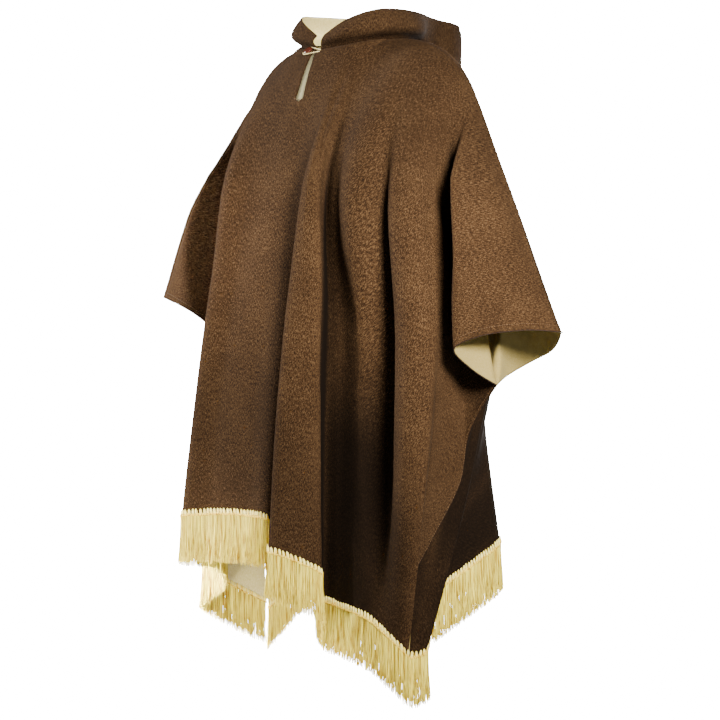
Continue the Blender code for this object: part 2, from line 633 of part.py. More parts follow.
def build_hood(side, collection):
    sections = np.array(HOOD_SECTIONS).reshape(len(HOOD_SECTIONS), 3, 3)
    knots = np.arange(len(sections))
    at = np.linspace(0, len(sections) - 1, (len(sections) - 1) * HOOD_SECTION_CELLS + 1)
    levels = [spline(knots, sections[:, level], at) for level in range(3)]
    heights = np.linspace(0, 2, HOOD_HEIGHT_CELLS + 1)
    grid = np.array([spline([0, 1, 2], [level[k] for level in levels], heights) for k in range(len(at))])
    normals = grid_normals(grid, 1)
    count = grid.shape[0] * grid.shape[1]
    ids = np.arange(count).reshape(grid.shape[:2])
    quads = []
    for along in range(grid.shape[0] - 1):
        for up in range(grid.shape[1] - 1):
            far_side = (ids[along + 1, up], ids[along + 1, up + 1])
            quads.append(tuple(map(int, (ids[along, up], *far_side, ids[along, up + 1]))))
    points = grid.reshape(-1, 3) * (side, 1, 1)
    flat = normals.reshape(-1, 3) * (side, 1, 1)
    if side == -1:
        quads = [tuple(reversed(quad)) for quad in quads]
    name = "hood_left" if side == 1 else "hood_right"
    return mesh_object(name, *wall(points, flat, quads, WALL), collection)


def front_surface(panel, across, share):
    """A point of the front panel's middle surface and its normal, at a distance across.

    The slit's two edges both count as columns, so the surface runs on over the open slit.
    """
    grid, normals, _ = panel
    middle = column_places().index(0.0)
    found = []
    for row in range(SLIT_END_ROW + 1):
        gap = SLIT_GAP_TOP + (SLIT_GAP_END - SLIT_GAP_TOP) * row / SLIT_END_ROW
        reach = grid[row, :, 0].copy()
        order = list(range(middle + 1)) + list(range(middle, len(reach)))
        reach = reach[order]
        reach[middle] -= gap / 2
        reach[middle + 1] += gap / 2
        values = np.concatenate([grid[row], normals[row]], axis=1)[order]
        found.append([np.interp(across, reach, values[:, axis]) for axis in range(1, 6)])
    found = np.array(found)
    rows = ROWS[: SLIT_END_ROW + 1]
    result = [np.interp(share, rows, found[:, axis]) for axis in range(5)]
    return np.array([across, result[0], result[1]]), unit(np.array(result[2:]))


def build_button(panel, collection):
    """The button, turned to lie along the front where it is sewn."""
    point, normal = front_surface(panel, BUTTON_ACROSS, BUTTON_SHARE)
    centre = point + normal * (WALL / 2 + BUTTON_LIFT + BUTTON_THICKNESS / 2)
    bpy.ops.mesh.primitive_cylinder_add(vertices=40, radius=BUTTON_RADIUS, depth=BUTTON_THICKNESS)
    button = bpy.context.object
    button.name = button.data.name = "button"
    button.location = centre
    button.rotation_euler = Vector(normal).to_track_quat("Z", "Y").to_euler()
    bevel = button.modifiers.new("rounding", "BEVEL")
    bevel.width = BUTTON_ROUNDING
    bevel.segments = 3
    button.data.shade_smooth()
    button.data.set_sharp_from_angle(angle=math.radians(40))
    button.data.materials.append(material("button"))
    for holder in list(button.users_collection):
        holder.objects.unlink(button)
    collection.objects.link(button)
    return centre, normal


def build_loop(panel, centre, normal, collection):
    """A cord from the slit's left edge, round the button's far side and back."""
    across = unit(np.array([1.0, 0.0, 0.0]) - normal * normal[0])
    along = np.cross(normal, across)
    turn = BUTTON_RADIUS + LOOP_RADIUS + LOOP_CLEARANCE
    seat = LOOP_RADIUS + WALL / 2 + LOOP_CLEARANCE
    drop = centre - normal * (BUTTON_THICKNESS / 2 + BUTTON_LIFT - LOOP_RADIUS - LOOP_CLEARANCE)
    points = []
    for step in range(LOOP_TURN_POINTS):
        angle = math.pi / 2 + math.pi * step / (LOOP_TURN_POINTS - 1)
        points.append(drop + (across * math.cos(angle) + along * math.sin(angle)) * turn)
    ends = []
    for sign in (1, -1):
        share = BUTTON_SHARE - sign * 0.5 * turn / HALF_LENGTH
        point, lift = front_surface(panel, LOOP_END_ACROSS, share)
        ends.append(point + lift * seat)
    runs = []
    for start, end in ((ends[0], points[0]), (points[-1], ends[1])):
        runs.append([start + (end - start) * k / LOOP_RUN_POINTS for k in range(LOOP_RUN_POINTS)])
    route = runs[0] + points + runs[1][1:] + [ends[1]]
    curve = bpy.data.curves.new("button_loop", "CURVE")
    curve.dimensions = "3D"
    curve.bevel_depth = LOOP_RADIUS
    curve.bevel_resolution = 2
    curve.use_fill_caps = True
    line = curve.splines.new("POLY")
    line.points.add(len(route) - 1)
    for knot, point in zip(line.points, route):
        knot.co = (*point, 1.0)
    curve.materials.append(material("button_loop"))
    collection.objects.link(bpy.data.objects.new("button_loop", curve))


def main():
    for old in list(bpy.data.objects):
        bpy.data.objects.remove(old, do_unlink=True)
    collection = bpy.data.collections.new("andean_poncho")
    bpy.context.scene.collection.children.link(collection)
    panels = build_panels(collection)
    for name, backing in (("front_fringe", "front_panel"), ("back_fringe", "back_panel")):
        build_fringe(name, panels[backing], collection)
    for side in (1, -1):
        build_hood(side, collection)
    centre, normal = build_button(panels["front_panel"], collection)
    build_loop(panels["front_panel"], centre, normal, collection)


main()
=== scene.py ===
# %% [markdown]
# # A hooded andean poncho
#
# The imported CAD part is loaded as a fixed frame: eight plain solids in metres, +Z up, with the
# origin at the middle of the neck hole. Everything below dresses that frame. The wearer faces -Y
# and the wearer's left arm is on +X.

# %% Load the frame
import math

import bpy
import numpy as np
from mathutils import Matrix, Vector, noise


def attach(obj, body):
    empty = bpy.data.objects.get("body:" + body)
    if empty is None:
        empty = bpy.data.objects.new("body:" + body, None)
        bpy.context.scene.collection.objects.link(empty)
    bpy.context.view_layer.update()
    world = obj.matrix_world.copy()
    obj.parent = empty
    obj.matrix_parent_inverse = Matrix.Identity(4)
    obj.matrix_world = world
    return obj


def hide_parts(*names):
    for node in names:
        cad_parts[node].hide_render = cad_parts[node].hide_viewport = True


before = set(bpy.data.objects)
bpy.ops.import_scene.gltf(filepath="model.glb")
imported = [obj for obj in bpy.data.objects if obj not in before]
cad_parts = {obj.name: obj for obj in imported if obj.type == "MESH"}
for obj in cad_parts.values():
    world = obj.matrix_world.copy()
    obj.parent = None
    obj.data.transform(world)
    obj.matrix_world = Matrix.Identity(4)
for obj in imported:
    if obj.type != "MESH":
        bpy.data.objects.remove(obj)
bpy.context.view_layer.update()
print("the frame's nodes:", sorted(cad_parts))

# %% [markdown]
# ## Helpers
#
# A node tree, for a material or for Geometry Nodes, is easier to read when each node is added by
# one call that also sets its values and links. Colours are written as sRGB hex values, as a maker
# would pick them, and turned to linear light once.

# %% Nodes, colours, objects and materials


def add(tree, kind, inputs=None, out=None, **settings):
    """Adds a node. Each input is set to a value, or linked from a socket. out is what to return."""
    made = tree.nodes.new(kind)
    for name, value in settings.items():
        setattr(made, name, value)
    for name, value in (inputs or {}).items():
        if isinstance(value, bpy.types.NodeSocket):
            tree.links.new(value, made.inputs[name])
        else:
            made.inputs[name].default_value = value
    return made if out is None else made.outputs[out]


def linear(code):
    """A colour such as #6b5038 as linear red, green, blue and alpha."""
    parts = [int(code[k : k + 2], 16) / 255 for k in (1, 3, 5)]
    return [p / 12.92 if p <= 0.04045 else ((p + 0.055) / 1.055) ** 2.4 for p in parts] + [1.0]


def put(name, data):
    """A new object in the scene."""
    made = bpy.data.objects.new(name, data)
    bpy.context.scene.collection.objects.link(made)
    return made


def material(name, values):
    """A material with these values on its shader's own sockets, its node tree and its shader."""
    made = bpy.data.materials.new(name)
    made.use_nodes = True
    shader = made.node_tree.nodes["Principled BSDF"]
    for label, value in values.items():
        shader.inputs[label].default_value = value
    return made, made.node_tree, shader


def direction(azimuth, elevation):
    """The way out from the garment, in degrees to its left and up from straight ahead."""
    turn, lift = math.radians(azimuth), math.radians(elevation)
    level = math.cos(lift)
    return Vector((math.sin(turn) * level, -math.cos(turn) * level, math.sin(lift)))


print("mid brown wool in linear light:", [round(c, 3) for c in linear("#6b5038")])

# %% [markdown]
# ## Camera, floor and light
#
# The garment is seen from the front of the wearer's left side, a little above its middle, with a
# long lens. The studio is plain: a white floor, white walls, and soft lights.

# %% The camera
CAMERA_AZIMUTH = 46
CAMERA_ELEVATION = 4
CAMERA_DISTANCE = 3.4
CAMERA_TARGET = Vector((0, 0, -0.525))
CAMERA_LENS = 102  # millimetres, long, so the near side isn't drawn too large
toward = direction(CAMERA_AZIMUTH, CAMERA_ELEVATION)
camera = put("camera", bpy.data.cameras.new("camera"))
camera.data.lens = CAMERA_LENS
camera.location = CAMERA_TARGET + toward * CAMERA_DISTANCE
camera.rotation_euler = toward.to_track_quat("Z", "Y").to_euler()
bpy.context.scene.camera = camera
print("the camera is at", [round(c, 3) for c in camera.location])

# %% The floor
FLOOR_HEIGHT = -1.30
FLOOR_HALF = 30.0
WHITE = linear("#ffffff")
STUDIO_WHITE = 30.0  # how brightly the camera sees the floor and the walls, so that they are white
floor_mesh = bpy.data.meshes.new("studio_floor")
ends = [(-1, -1), (1, -1), (1, 1), (-1, 1)]
corners = [(x * FLOOR_HALF, y * FLOOR_HALF, FLOOR_HEIGHT) for x, y in ends]
floor_mesh.from_pydata(corners, [], [(0, 1, 2, 3)])
# Plaster rolled with matt paint: it scatters light evenly, and shows no texture from here.
matt_white = {"Base Color": WHITE, "Roughness": 0.9, "Emission Color": WHITE}
floor_finish, tree, shader = material("white studio floor", matt_white)
seen = add(tree, "ShaderNodeLightPath", out="Is Camera Ray")
glow = add(tree, "ShaderNodeMath", {0: seen, 1: STUDIO_WHITE}, 0, operation="MULTIPLY")
tree.links.new(glow, shader.inputs["Emission Strength"])
floor_mesh.materials.append(floor_finish)
floor = put("studio_floor", floor_mesh)

# %% The lights
# A honeycomb grid on each soft box narrows its beam, so the light falls off away from its aim.
# Each row: name, aim across and its height, azimuth and elevation as the camera's are, distance,
# size, watts, beam in degrees, colour.
LIGHTS = [
    ("left", 0.0, -0.48, -60, 20, 2.7, 0.9, 20, 48, "#fffaf2"),
    ("right", 0.0, -0.44, 67, 23, 2.7, 0.8, 21, 46, "#fffcf6"),
    ("hem", -0.14, -0.98, -40, -3, 2.6, 0.4, 14, 13, "#fff8e6"),
    ("far_hem", -0.24, -1.08, 36, -2, 2.4, 0.3, 0.7, 11, "#fff4dc"),
    ("far_sleeve", -0.38, -0.34, 22, 4, 2.6, 0.4, 0.55, 8, "#fffaf2"),
    ("rear", 0.0, -0.60, 202, 8, 3.4, 1.6, 130, 180, "#ffffff"),
]
for name, across, aim, azimuth, elevation, distance, size, watts, beam, tint in LIGHTS:
    light = bpy.data.lights.new(name, "AREA")
    light.shape = "DISK"
    light.size = size
    light.energy = watts
    light.spread = math.radians(beam)
    light.color = linear(tint)[:3]
    way = direction(azimuth, elevation)
    lamp = put(name, light)
    lamp.location = Vector((across, 0, aim)) + way * distance
    lamp.rotation_euler = way.to_track_quat("Z", "Y").to_euler()
print("lights:", [row[0] for row in LIGHTS])

# %% The walls
WALL_LIGHT = 0.13  # the white walls light the cloth only a little
world = bpy.data.worlds.new("white studio")
bpy.context.scene.world = world
world.use_nodes = True
tree = world.node_tree
seen = add(tree, "ShaderNodeLightPath", out="Is Camera Ray")
strengths = {"Value": seen, "To Min": WALL_LIGHT, "To Max": STUDIO_WHITE}
strength = add(tree, "ShaderNodeMapRange", strengths, "Result")
tree.nodes["Background"].inputs["Color"].default_value = WHITE
tree.links.new(strength, tree.nodes["Background"].inputs["Strength"])
print("the walls light the cloth at", WALL_LIGHT, "and look white")

# %% [markdown]
# ## The cut and the folds
#
# A poncho is a big flat cloth that hangs from the shoulder fold. Each row of the two tables below
# is one line of cloth: where it starts along the shoulder, where it ends on the border, and how far
# across and forward it hangs at the chest, at the waist and at the hem. A smooth curve joins the
# lines, so the tables alone decide the folds. Their sizes are those of the CAD solids, apart from
# the two ends of the back hem, which hang up to 26 mm from the solid's.

# %% Sizes of the cut
HALF_WIDTH = 0.70  # along the shoulder fold, from the neck's middle to the sleeve edge
HALF_LENGTH = 0.86  # from the shoulder fold to the hem
ARM_OPENING = 0.32  # from the shoulder fold to the start of the side seam
SIDE_SLIT = 0.13  # the open end of the side seam
WALL = 0.002

# The neck hole, an ellipse cut across the shoulder fold, and the slit below its front.
NECK_HALF_WIDTH = 0.090
NECK_FRONT = 0.094
NECK_BACK = 0.070
NECK_DIP = 0.018  # how far the front of the neck hole lies below the shoulder fold
SLIT_SHARE = 0.17  # how far down the middle line the neck slit runs
SLIT_GAP_TOP = 0.006
SLIT_GAP_END = 0.019

# The shoulder fold runs level to FALL_START, and is at the arm's angle from FALL_END on.
FALL_START = 0.06
FALL_END = 0.34
LEFT_ARM_ANGLE = 64.0
RIGHT_ARM_ANGLE = 60.0
RIGHT_ARM_FORWARD = 0.020
SHOULDER_STEPS = 140

# How far down a fold line its chest and waist points lie, as shares of the line.
CHEST = 0.25
WAIST = 0.55
ROLL_OVER = 0.10  # the share of a line that turns from lying on the shoulder to hanging

# Border distances, from the middle of the hem: along the hem, up the side, round the arm opening.
CORNER = HALF_WIDTH
UNDERARM = HALF_WIDTH + HALF_LENGTH - ARM_OPENING
SLEEVE_TIP = HALF_WIDTH + HALF_LENGTH
SHOULDER_SPAN = 0.34  # fold lines start within this distance of the neck's middle
SLEEVE_START = 0.26  # lines that start beyond this fall straight, as a sleeve does
NEARLY = 1e-6  # places this near to each other are one place

# %% The fold lines
# Each row: name, start along the shoulder, end along the border, chest across and forward, waist
# across and forward. A line that ends on the hem adds the hem's across, forward and drop.
FRONT_LINES = [
    ("right_sleeve_front", -0.320, -1.45, -0.292, 0.050, -0.360, 0.070),
    ("right_sleeve_fold", -0.305, -1.35, -0.266, 0.078, -0.320, 0.098),
    ("right_sleeve_root", -0.292, -1.28, -0.248, 0.052, -0.276, 0.044),
    ("right_underarm", -0.280, -UNDERARM, -0.234, 0.050, -0.262, 0.042),
    ("right_side", -0.265, -1.03, -0.222, 0.058, -0.258, 0.055),
    ("right_slit", -0.252, -CORNER - SIDE_SLIT, -0.212, 0.066, -0.260, 0.068),
    ("right_corner", -0.240, -CORNER, -0.205, 0.072, -0.258, 0.078, -0.262, -0.020, 0.970),
    ("right_side_fold", -0.210, -0.58, -0.192, 0.085, -0.240, 0.102, -0.284, 0.075, 0.915),
    ("right_flank", -0.185, -0.46, -0.180, 0.092, -0.212, 0.118, -0.262, 0.122, 0.882),
    ("right_valley", -0.160, -0.36, -0.165, 0.104, -0.162, 0.128, -0.178, 0.140, 0.835),
    ("right_turn", -0.140, -0.26, -0.148, 0.125, -0.132, 0.170, -0.125, 0.200, 0.796),
    ("right_front_edge", -0.115, -0.17, -0.132, 0.148, -0.118, 0.220, -0.130, 0.268, 0.777),
    ("right_flat", -0.060, -0.08, -0.066, 0.155, -0.062, 0.218, -0.070, 0.264, 0.764),
    ("centre", 0.000, 0.00, 0.000, 0.154, 0.000, 0.209, 0.000, 0.250, 0.760),
    ("left_flat", 0.045, 0.065, 0.042, 0.153, 0.054, 0.201, 0.060, 0.240, 0.765),
    ("pipe_left_root", 0.062, 0.115, 0.058, 0.153, 0.066, 0.192, 0.068, 0.206, 0.778),
    ("pipe_left_root_end", 0.070, 0.145, 0.066, 0.154, 0.080, 0.192, 0.084, 0.204, 0.784),
    ("pipe_left_side", 0.078, 0.205, 0.072, 0.165, 0.082, 0.232, 0.082, 0.273, 0.800),
    ("pipe_crest", 0.090, 0.26, 0.086, 0.170, 0.110, 0.234, 0.120, 0.262, 0.814),
    ("pipe_right_side", 0.100, 0.32, 0.097, 0.163, 0.135, 0.213, 0.146, 0.226, 0.838),
    ("pipe_right_root", 0.109, 0.385, 0.094, 0.150, 0.110, 0.192, 0.112, 0.207, 0.872),
    ("pipe_right_root_end", 0.116, 0.415, 0.096, 0.145, 0.110, 0.180, 0.112, 0.191, 0.886),
    ("trough", 0.130, 0.45, 0.115, 0.153, 0.140, 0.180, 0.148, 0.193, 0.892),
    ("middle_bulge", 0.155, 0.51, 0.158, 0.164, 0.188, 0.198, 0.203, 0.203, 0.896),
    ("middle_valley", 0.190, 0.56, 0.204, 0.134, 0.246, 0.154, 0.243, 0.203, 0.907),
    ("side_fold_edge", 0.205, 0.60, 0.222, 0.141, 0.272, 0.188, 0.268, 0.201, 0.920),
    ("side_fold_crest", 0.222, 0.65, 0.248, 0.130, 0.304, 0.197, 0.284, 0.194, 0.934),
    ("left_corner", 0.240, CORNER, 0.262, 0.115, 0.330, 0.172, 0.295, 0.185, 0.949),
    ("left_slit", 0.252, CORNER + SIDE_SLIT, 0.267, 0.105, 0.324, 0.150),
    ("left_side", 0.265, 1.03, 0.270, 0.092, 0.312, 0.120),
    ("left_underarm", 0.280, UNDERARM, 0.268, 0.064, 0.284, 0.056),
    ("left_sleeve_root", 0.292, 1.28, 0.281, 0.062, 0.300, 0.056),
    ("left_sleeve_fold", 0.308, 1.35, 0.306, 0.096, 0.352, 0.148),
    ("left_sleeve_front", 0.320, 1.45, 0.315, 0.055, 0.365, 0.085),
]

# The same for the back, with forward distances below zero.
BACK_LINES = [
    ("right_sleeve_back", -0.320, -1.45, -0.300, -0.045, -0.365, -0.045),
    ("right_sleeve_fold", -0.305, -1.35, -0.275, -0.062, -0.335, -0.055),
    ("right_sleeve_root", -0.292, -1.28, -0.258, -0.060, -0.305, -0.028),
    ("right_underarm", -0.280, -UNDERARM, -0.248, -0.062, -0.288, -0.022),
    ("right_side", -0.265, -1.03, -0.240, -0.070, -0.278, -0.030),
    ("right_slit", -0.252, -CORNER - SIDE_SLIT, -0.230, -0.076, -0.270, -0.045),
    ("right_corner", -0.240, -CORNER, -0.222, -0.082, -0.266, -0.065, -0.272, -0.036, 0.984),
    ("right_ridge_3", -0.215, -0.60, -0.212, -0.105, -0.262, -0.125, -0.284, -0.118, 0.936),
    ("right_valley_3", -0.185, -0.50, -0.184, -0.112, -0.218, -0.114, -0.225, -0.108, 0.870),
    ("right_ridge_2", -0.155, -0.40, -0.160, -0.138, -0.205, -0.162, -0.215, -0.195, 0.842),
    ("right_valley_2", -0.115, -0.29, -0.120, -0.142, -0.150, -0.154, -0.142, -0.152, 0.822),
    ("right_ridge_1", -0.075, -0.18, -0.082, -0.157, -0.118, -0.198, -0.130, -0.235, 0.808),
    ("right_valley_1", -0.038, -0.09, -0.042, -0.155, -0.066, -0.182, -0.070, -0.192, 0.802),
    ("centre", 0.000, 0.00, 0.000, -0.160, 0.000, -0.194, 0.000, -0.215, 0.800),
    ("left_ridge_1", 0.045, 0.085, 0.052, -0.158, 0.072, -0.194, 0.080, -0.214, 0.801),
    ("left_valley_1", 0.085, 0.18, 0.095, -0.142, 0.096, -0.150, 0.098, -0.132, 0.805),
    ("left_ridge_2", 0.125, 0.27, 0.138, -0.132, 0.148, -0.130, 0.168, -0.128, 0.811),
    ("left_valley_2", 0.165, 0.36, 0.165, -0.104, 0.178, -0.074, 0.188, -0.052, 0.818),
    ("left_ridge_3", 0.200, 0.45, 0.195, -0.084, 0.212, -0.066, 0.256, -0.047, 0.820),
    ("left_side_flat", 0.214, 0.55, 0.201, -0.086, 0.236, -0.080, 0.263, 0.078, 0.863),
    ("left_side_hollow", 0.224, 0.61, 0.206, -0.083, 0.247, -0.068, 0.260, 0.124, 0.887),
    ("left_side_crest", 0.232, 0.66, 0.211, -0.075, 0.251, -0.042, 0.292, 0.139, 0.947),
    ("left_corner", 0.240, CORNER, 0.218, -0.066, 0.256, -0.024, 0.279, 0.170, 0.958),
    ("left_slit", 0.252, CORNER + SIDE_SLIT, 0.226, -0.058, 0.266, -0.034),
    ("left_side", 0.265, 1.03, 0.233, -0.052, 0.286, -0.014),
    ("left_underarm", 0.280, UNDERARM, 0.242, -0.046, 0.298, -0.012),
    ("left_sleeve_root", 0.292, 1.28, 0.250, -0.042, 0.308, -0.018),
    ("left_sleeve_fold", 0.308, 1.35, 0.266, -0.042, 0.318, -0.038),
    ("left_sleeve_back", 0.320, 1.45, 0.282, -0.030, 0.336, -0.032),
]
# The cells of the fine cloth before each line of the front, and after the last.
CELLS = [2, 2, 1, 1, 2, 1, 2, 2, 2, 2, 2, 2, 3, 3, 2, 2, 1, 2, 2, 2, 2, 1, 2, 2, 2, 2, 2, 2, 1, 2]
CELLS += [3, 1, 3, 2, 2]

# The arm openings by side and front: distance from the shoulder fold, across, forward, drop.
OPENINGS = {
    (1, True): [
        (0.08, 0.420, 0.070, 0.456),
        (0.15, 0.392, 0.135, 0.464),
        (0.21, 0.366, 0.160, 0.484),
        (0.26, 0.366, 0.125, 0.512),
    ],
    (1, False): [
        (0.08, 0.390, -0.045, 0.484),
        (0.15, 0.350, -0.072, 0.500),
        (0.21, 0.332, -0.045, 0.516),
        (0.26, 0.345, 0.015, 0.530),
    ],
    (-1, True): [
        (0.08, 0.415, 0.085, 0.430),
        (0.15, 0.345, 0.112, 0.438),
        (0.21, 0.300, 0.100, 0.460),
        (0.26, 0.298, 0.060, 0.490),
    ],
    (-1, False): [
        (0.08, 0.410, -0.040, 0.452),
        (0.15, 0.370, -0.065, 0.474),
        (0.21, 0.335, -0.050, 0.492),
        (0.26, 0.318, -0.010, 0.506),
    ],
}
# The side seams by side, in the same way.
SEAMS = {
    1: [
        (0.32, 0.380, 0.080, 0.540),
        (0.40, 0.326, 0.0755, 0.604),
        (0.53, 0.300, 0.0800, 0.704),
        (0.63, 0.284, 0.120, 0.780),
        (0.73, 0.273, 0.150, 0.832),
    ],
    -1: [
        (0.32, 0.310, 0.020, 0.520),
        (0.50, 0.280, 0.008, 0.665),
        (0.73, 0.266, -0.018, 0.850),
    ],
}
print(len(FRONT_LINES), "lines of cloth in front and", len(BACK_LINES), "behind")

# %% [markdown]
# ## From lines to a surface
#
# A cubic curve through the rows of a table gives the surface between them. The same function is
# used across the cloth and down it.

# %% The curve and the border


def smooth(share):
    share = min(max(share, 0.0), 1.0)
    return share * share * (3 - 2 * share)


def spline(knots, values, at):
    """A smooth curve through the values at the knots, read at the places in at."""
    knots, values = np.asarray(knots, float), np.asarray(values, float)
    gaps = np.diff(knots)[:, None]
    slopes = np.diff(values, axis=0) / gaps
    inner = (gaps[1:] * slopes[:-1] + gaps[:-1] * slopes[1:]) / (gaps[1:] + gaps[:-1])
    first = 1.5 * slopes[:1] - 0.5 * inner[:1]
    last = 1.5 * slopes[-1:] - 0.5 * inner[-1:]
    tangents = np.concatenate([first, inner, last])
    at = np.clip(np.asarray(at, float), knots[0], knots[-1])
    cell = np.clip(np.searchsorted(knots, at, side="right") - 1, 0, len(gaps) - 1)
    gap = gaps[cell]
    share = (at - knots[cell])[:, None] / gap
    return (
        values[cell] * (1 + 2 * share) * (1 - share) ** 2
        + values[cell + 1] * share**2 * (3 - 2 * share)
        + gap * tangents[cell] * share * (1 - share) ** 2
        - gap * tangents[cell + 1] * share**2 * (1 - share)
    )


def shoulder_fold(angle, forward):
    """The shoulder fold's distances from the neck's middle, and its points for the left side."""
    steps = np.linspace(0.0, HALF_WIDTH, SHOULDER_STEPS + 1)
    step = steps[1] - steps[0]
    middles = (steps[1:] + steps[:-1]) / 2
    shares = (middles - FALL_START) / (FALL_END - FALL_START)
    slopes = np.radians([angle * smooth(share) for share in shares])
    across = np.concatenate([[0.0], np.cumsum(np.cos(slopes) * step)])
    drop = np.concatenate([[0.0], np.cumsum(np.sin(slopes) * step)])
    ahead = forward * (steps / HALF_WIDTH) ** 2
    return steps, np.stack([across, -ahead, -drop], axis=1)


SHOULDERS = {
    1: shoulder_fold(LEFT_ARM_ANGLE, 0.0),
    -1: shoulder_fold(RIGHT_ARM_ANGLE, RIGHT_ARM_FORWARD),
}


def shoulder_point(along):
    """The shoulder fold at a distance from the neck's middle, below zero on the right."""
    side = 1 if along >= 0 else -1
    steps, points = SHOULDERS[side]
    point = [np.interp(abs(along), steps, points[:, axis]) for axis in range(3)]
    return np.array([side * point[0], point[1], point[2]])


def top_point(along, front):
    """The top of a line of cloth: on the shoulder fold, or on the edge of the neck hole."""
    base = shoulder_point(along)
    if abs(along) >= NECK_HALF_WIDTH:
        return base
    share = math.sqrt(1 - (along / NECK_HALF_WIDTH) ** 2)
    if front:
        return base + np.array([0.0, -NECK_FRONT * share, -NECK_DIP * share**2])
    return base + np.array([0.0, NECK_BACK * share, 0.0])


def side_point(side, front, corner, down):
    """A point of the side edge. The two panels share one curve along the side seam."""
    rows = OPENINGS[side, front] + SEAMS[side]
    knots = [0.0] + [row[0] for row in rows] + [HALF_LENGTH]
    points = [(side * row[1], -row[2], -row[3]) for row in rows]
    points = np.array([shoulder_point(side * HALF_WIDTH)] + points + [corner])
    start = knots.index(ARM_OPENING)
    if down <= ARM_OPENING:
        return spline(knots[: start + 1], points[: start + 1], [down])[0]
    if down <= HALF_LENGTH - SIDE_SLIT:
        return spline(knots[start:-1], points[start:-1], [down])[0]
    share = (down - HALF_LENGTH + SIDE_SLIT) / SIDE_SLIT
    return points[-2] + (points[-1] - points[-2]) * share


# %% Places along the shoulder
COLUMN_CELLS = 5  # columns of the fine cloth for each of its cells
ROW_COUNT = 112
TOP_ROWS = 8  # rows of the fine cloth on TOP_SHARE of a line, where it bends over the shoulder
TOP_SHARE = 0.06


def borders_at(places, lines=None):
    """Where lines that start at these places end on the border."""
    rows = lines or FRONT_LINES
    knots = [-SHOULDER_SPAN] + [row[1] for row in rows] + [SHOULDER_SPAN]
    borders = [-SLEEVE_TIP] + [row[2] for row in rows] + [SLEEVE_TIP]
    return np.interp(places, knots, borders)


def fine_places():
    """The places along the shoulder where the cloth has a column of points."""
    starts = [-SHOULDER_SPAN] + [row[1] for row in FRONT_LINES] + [SHOULDER_SPAN]
    places = [starts[0]]
    for low, high, count in zip(starts, starts[1:], CELLS):
        steps = count * COLUMN_CELLS
        places += [low + (high - low) * (k + 1) / steps for k in range(steps)]
    return np.array(places)


PLACES = fine_places()
MIDDLE = int(np.argmin(np.abs(PLACES)))
PLACES[MIDDLE] = 0.0
below = np.linspace(TOP_SHARE, 1, ROW_COUNT - TOP_ROWS + 1)[1:]
ROWS = np.concatenate([np.linspace(0, TOP_SHARE, TOP_ROWS), below])
BORDER = borders_at(PLACES)
print(len(PLACES), "columns by", len(ROWS), "rows")

# %% The surface of a panel


def panel_surface(front):
    """Points of the front or back: rows down, and a column for each place along the shoulder."""
    lines = FRONT_LINES if front else BACK_LINES
    sleeve_span = HALF_WIDTH - SHOULDER_SPAN
    knots = [-SHOULDER_SPAN] + [row[1] for row in lines] + [SHOULDER_SPAN]
    levels = []
    for level, first in ((CHEST, 3), (WAIST, 5)):
        out = SHOULDER_SPAN + level * sleeve_span
        ends = [shoulder_point(place)[:2] for place in (-out, out)]
        values = [ends[0]] + [(row[first], -row[first + 1]) for row in lines] + [ends[1]]
        levels.append(spline(knots, values, PLACES))
    chest, waist = levels
    border = borders_at(PLACES, lines)
    hung = [row for row in lines if len(row) > 7]
    hem_knots = [row[1] for row in hung]
    hem_points = np.array([(row[7], -row[8], -row[9]) for row in hung])
    hang = np.hypot(ROWS, ROLL_OVER) - ROLL_OVER
    hang /= math.hypot(1, ROLL_OVER) - ROLL_OVER
    columns = []
    for number, place in enumerate(PLACES):
        side = 1 if place >= 0 else -1
        if abs(place) >= SHOULDER_SPAN - NEARLY:
            along = [SHOULDER_SPAN + share * sleeve_span for share in ROWS]
            columns.append([shoulder_point(side * distance) for distance in along])
            continue
        if abs(border[number]) <= CORNER:
            end = spline(hem_knots, hem_points, [place])[0]
        else:
            corner = hem_points[-1] if side == 1 else hem_points[0]
            end = side_point(side, front, corner, HALF_WIDTH + HALF_LENGTH - abs(border[number]))
        top = top_point(place, front)
        plan = np.array([top[:2], chest[number], waist[number], end[:2]])
        path = spline([0.0, CHEST, WAIST, 1.0], plan, ROWS)
        sleeve = smooth((abs(place) - SLEEVE_START) / (SHOULDER_SPAN - SLEEVE_START))
        fall = hang + (ROWS - hang) * sleeve
        height = top[2] + (end[2] - top[2]) * fall
        columns.append(np.column_stack([path, height]))
    return np.array(columns).transpose(1, 0, 2)


def unit(vectors):
    return vectors / np.maximum(np.linalg.norm(vectors, axis=-1, keepdims=True), 1e-9)


def surface_normals(grid, outward):
    """Unit normals of a grid of points. outward is 1 or -1."""
    falling = grid[1:, 1:] - grid[:-1, :-1]
    rising = grid[:-1, 1:] - grid[1:, :-1]
    cells = np.pad(unit(outward * np.cross(falling, rising)), ((1, 1), (1, 1), (0, 0)))
    return unit(cells[1:, 1:] + cells[1:, :-1] + cells[:-1, 1:] + cells[:-1, :-1])


front_grid, back_grid = panel_surface(True), panel_surface(False)
drops = [round(float(grid[..., 2].min()), 3) for grid in (front_grid, back_grid)]
print("front drop:", drops[0], "back drop:", drops[1])
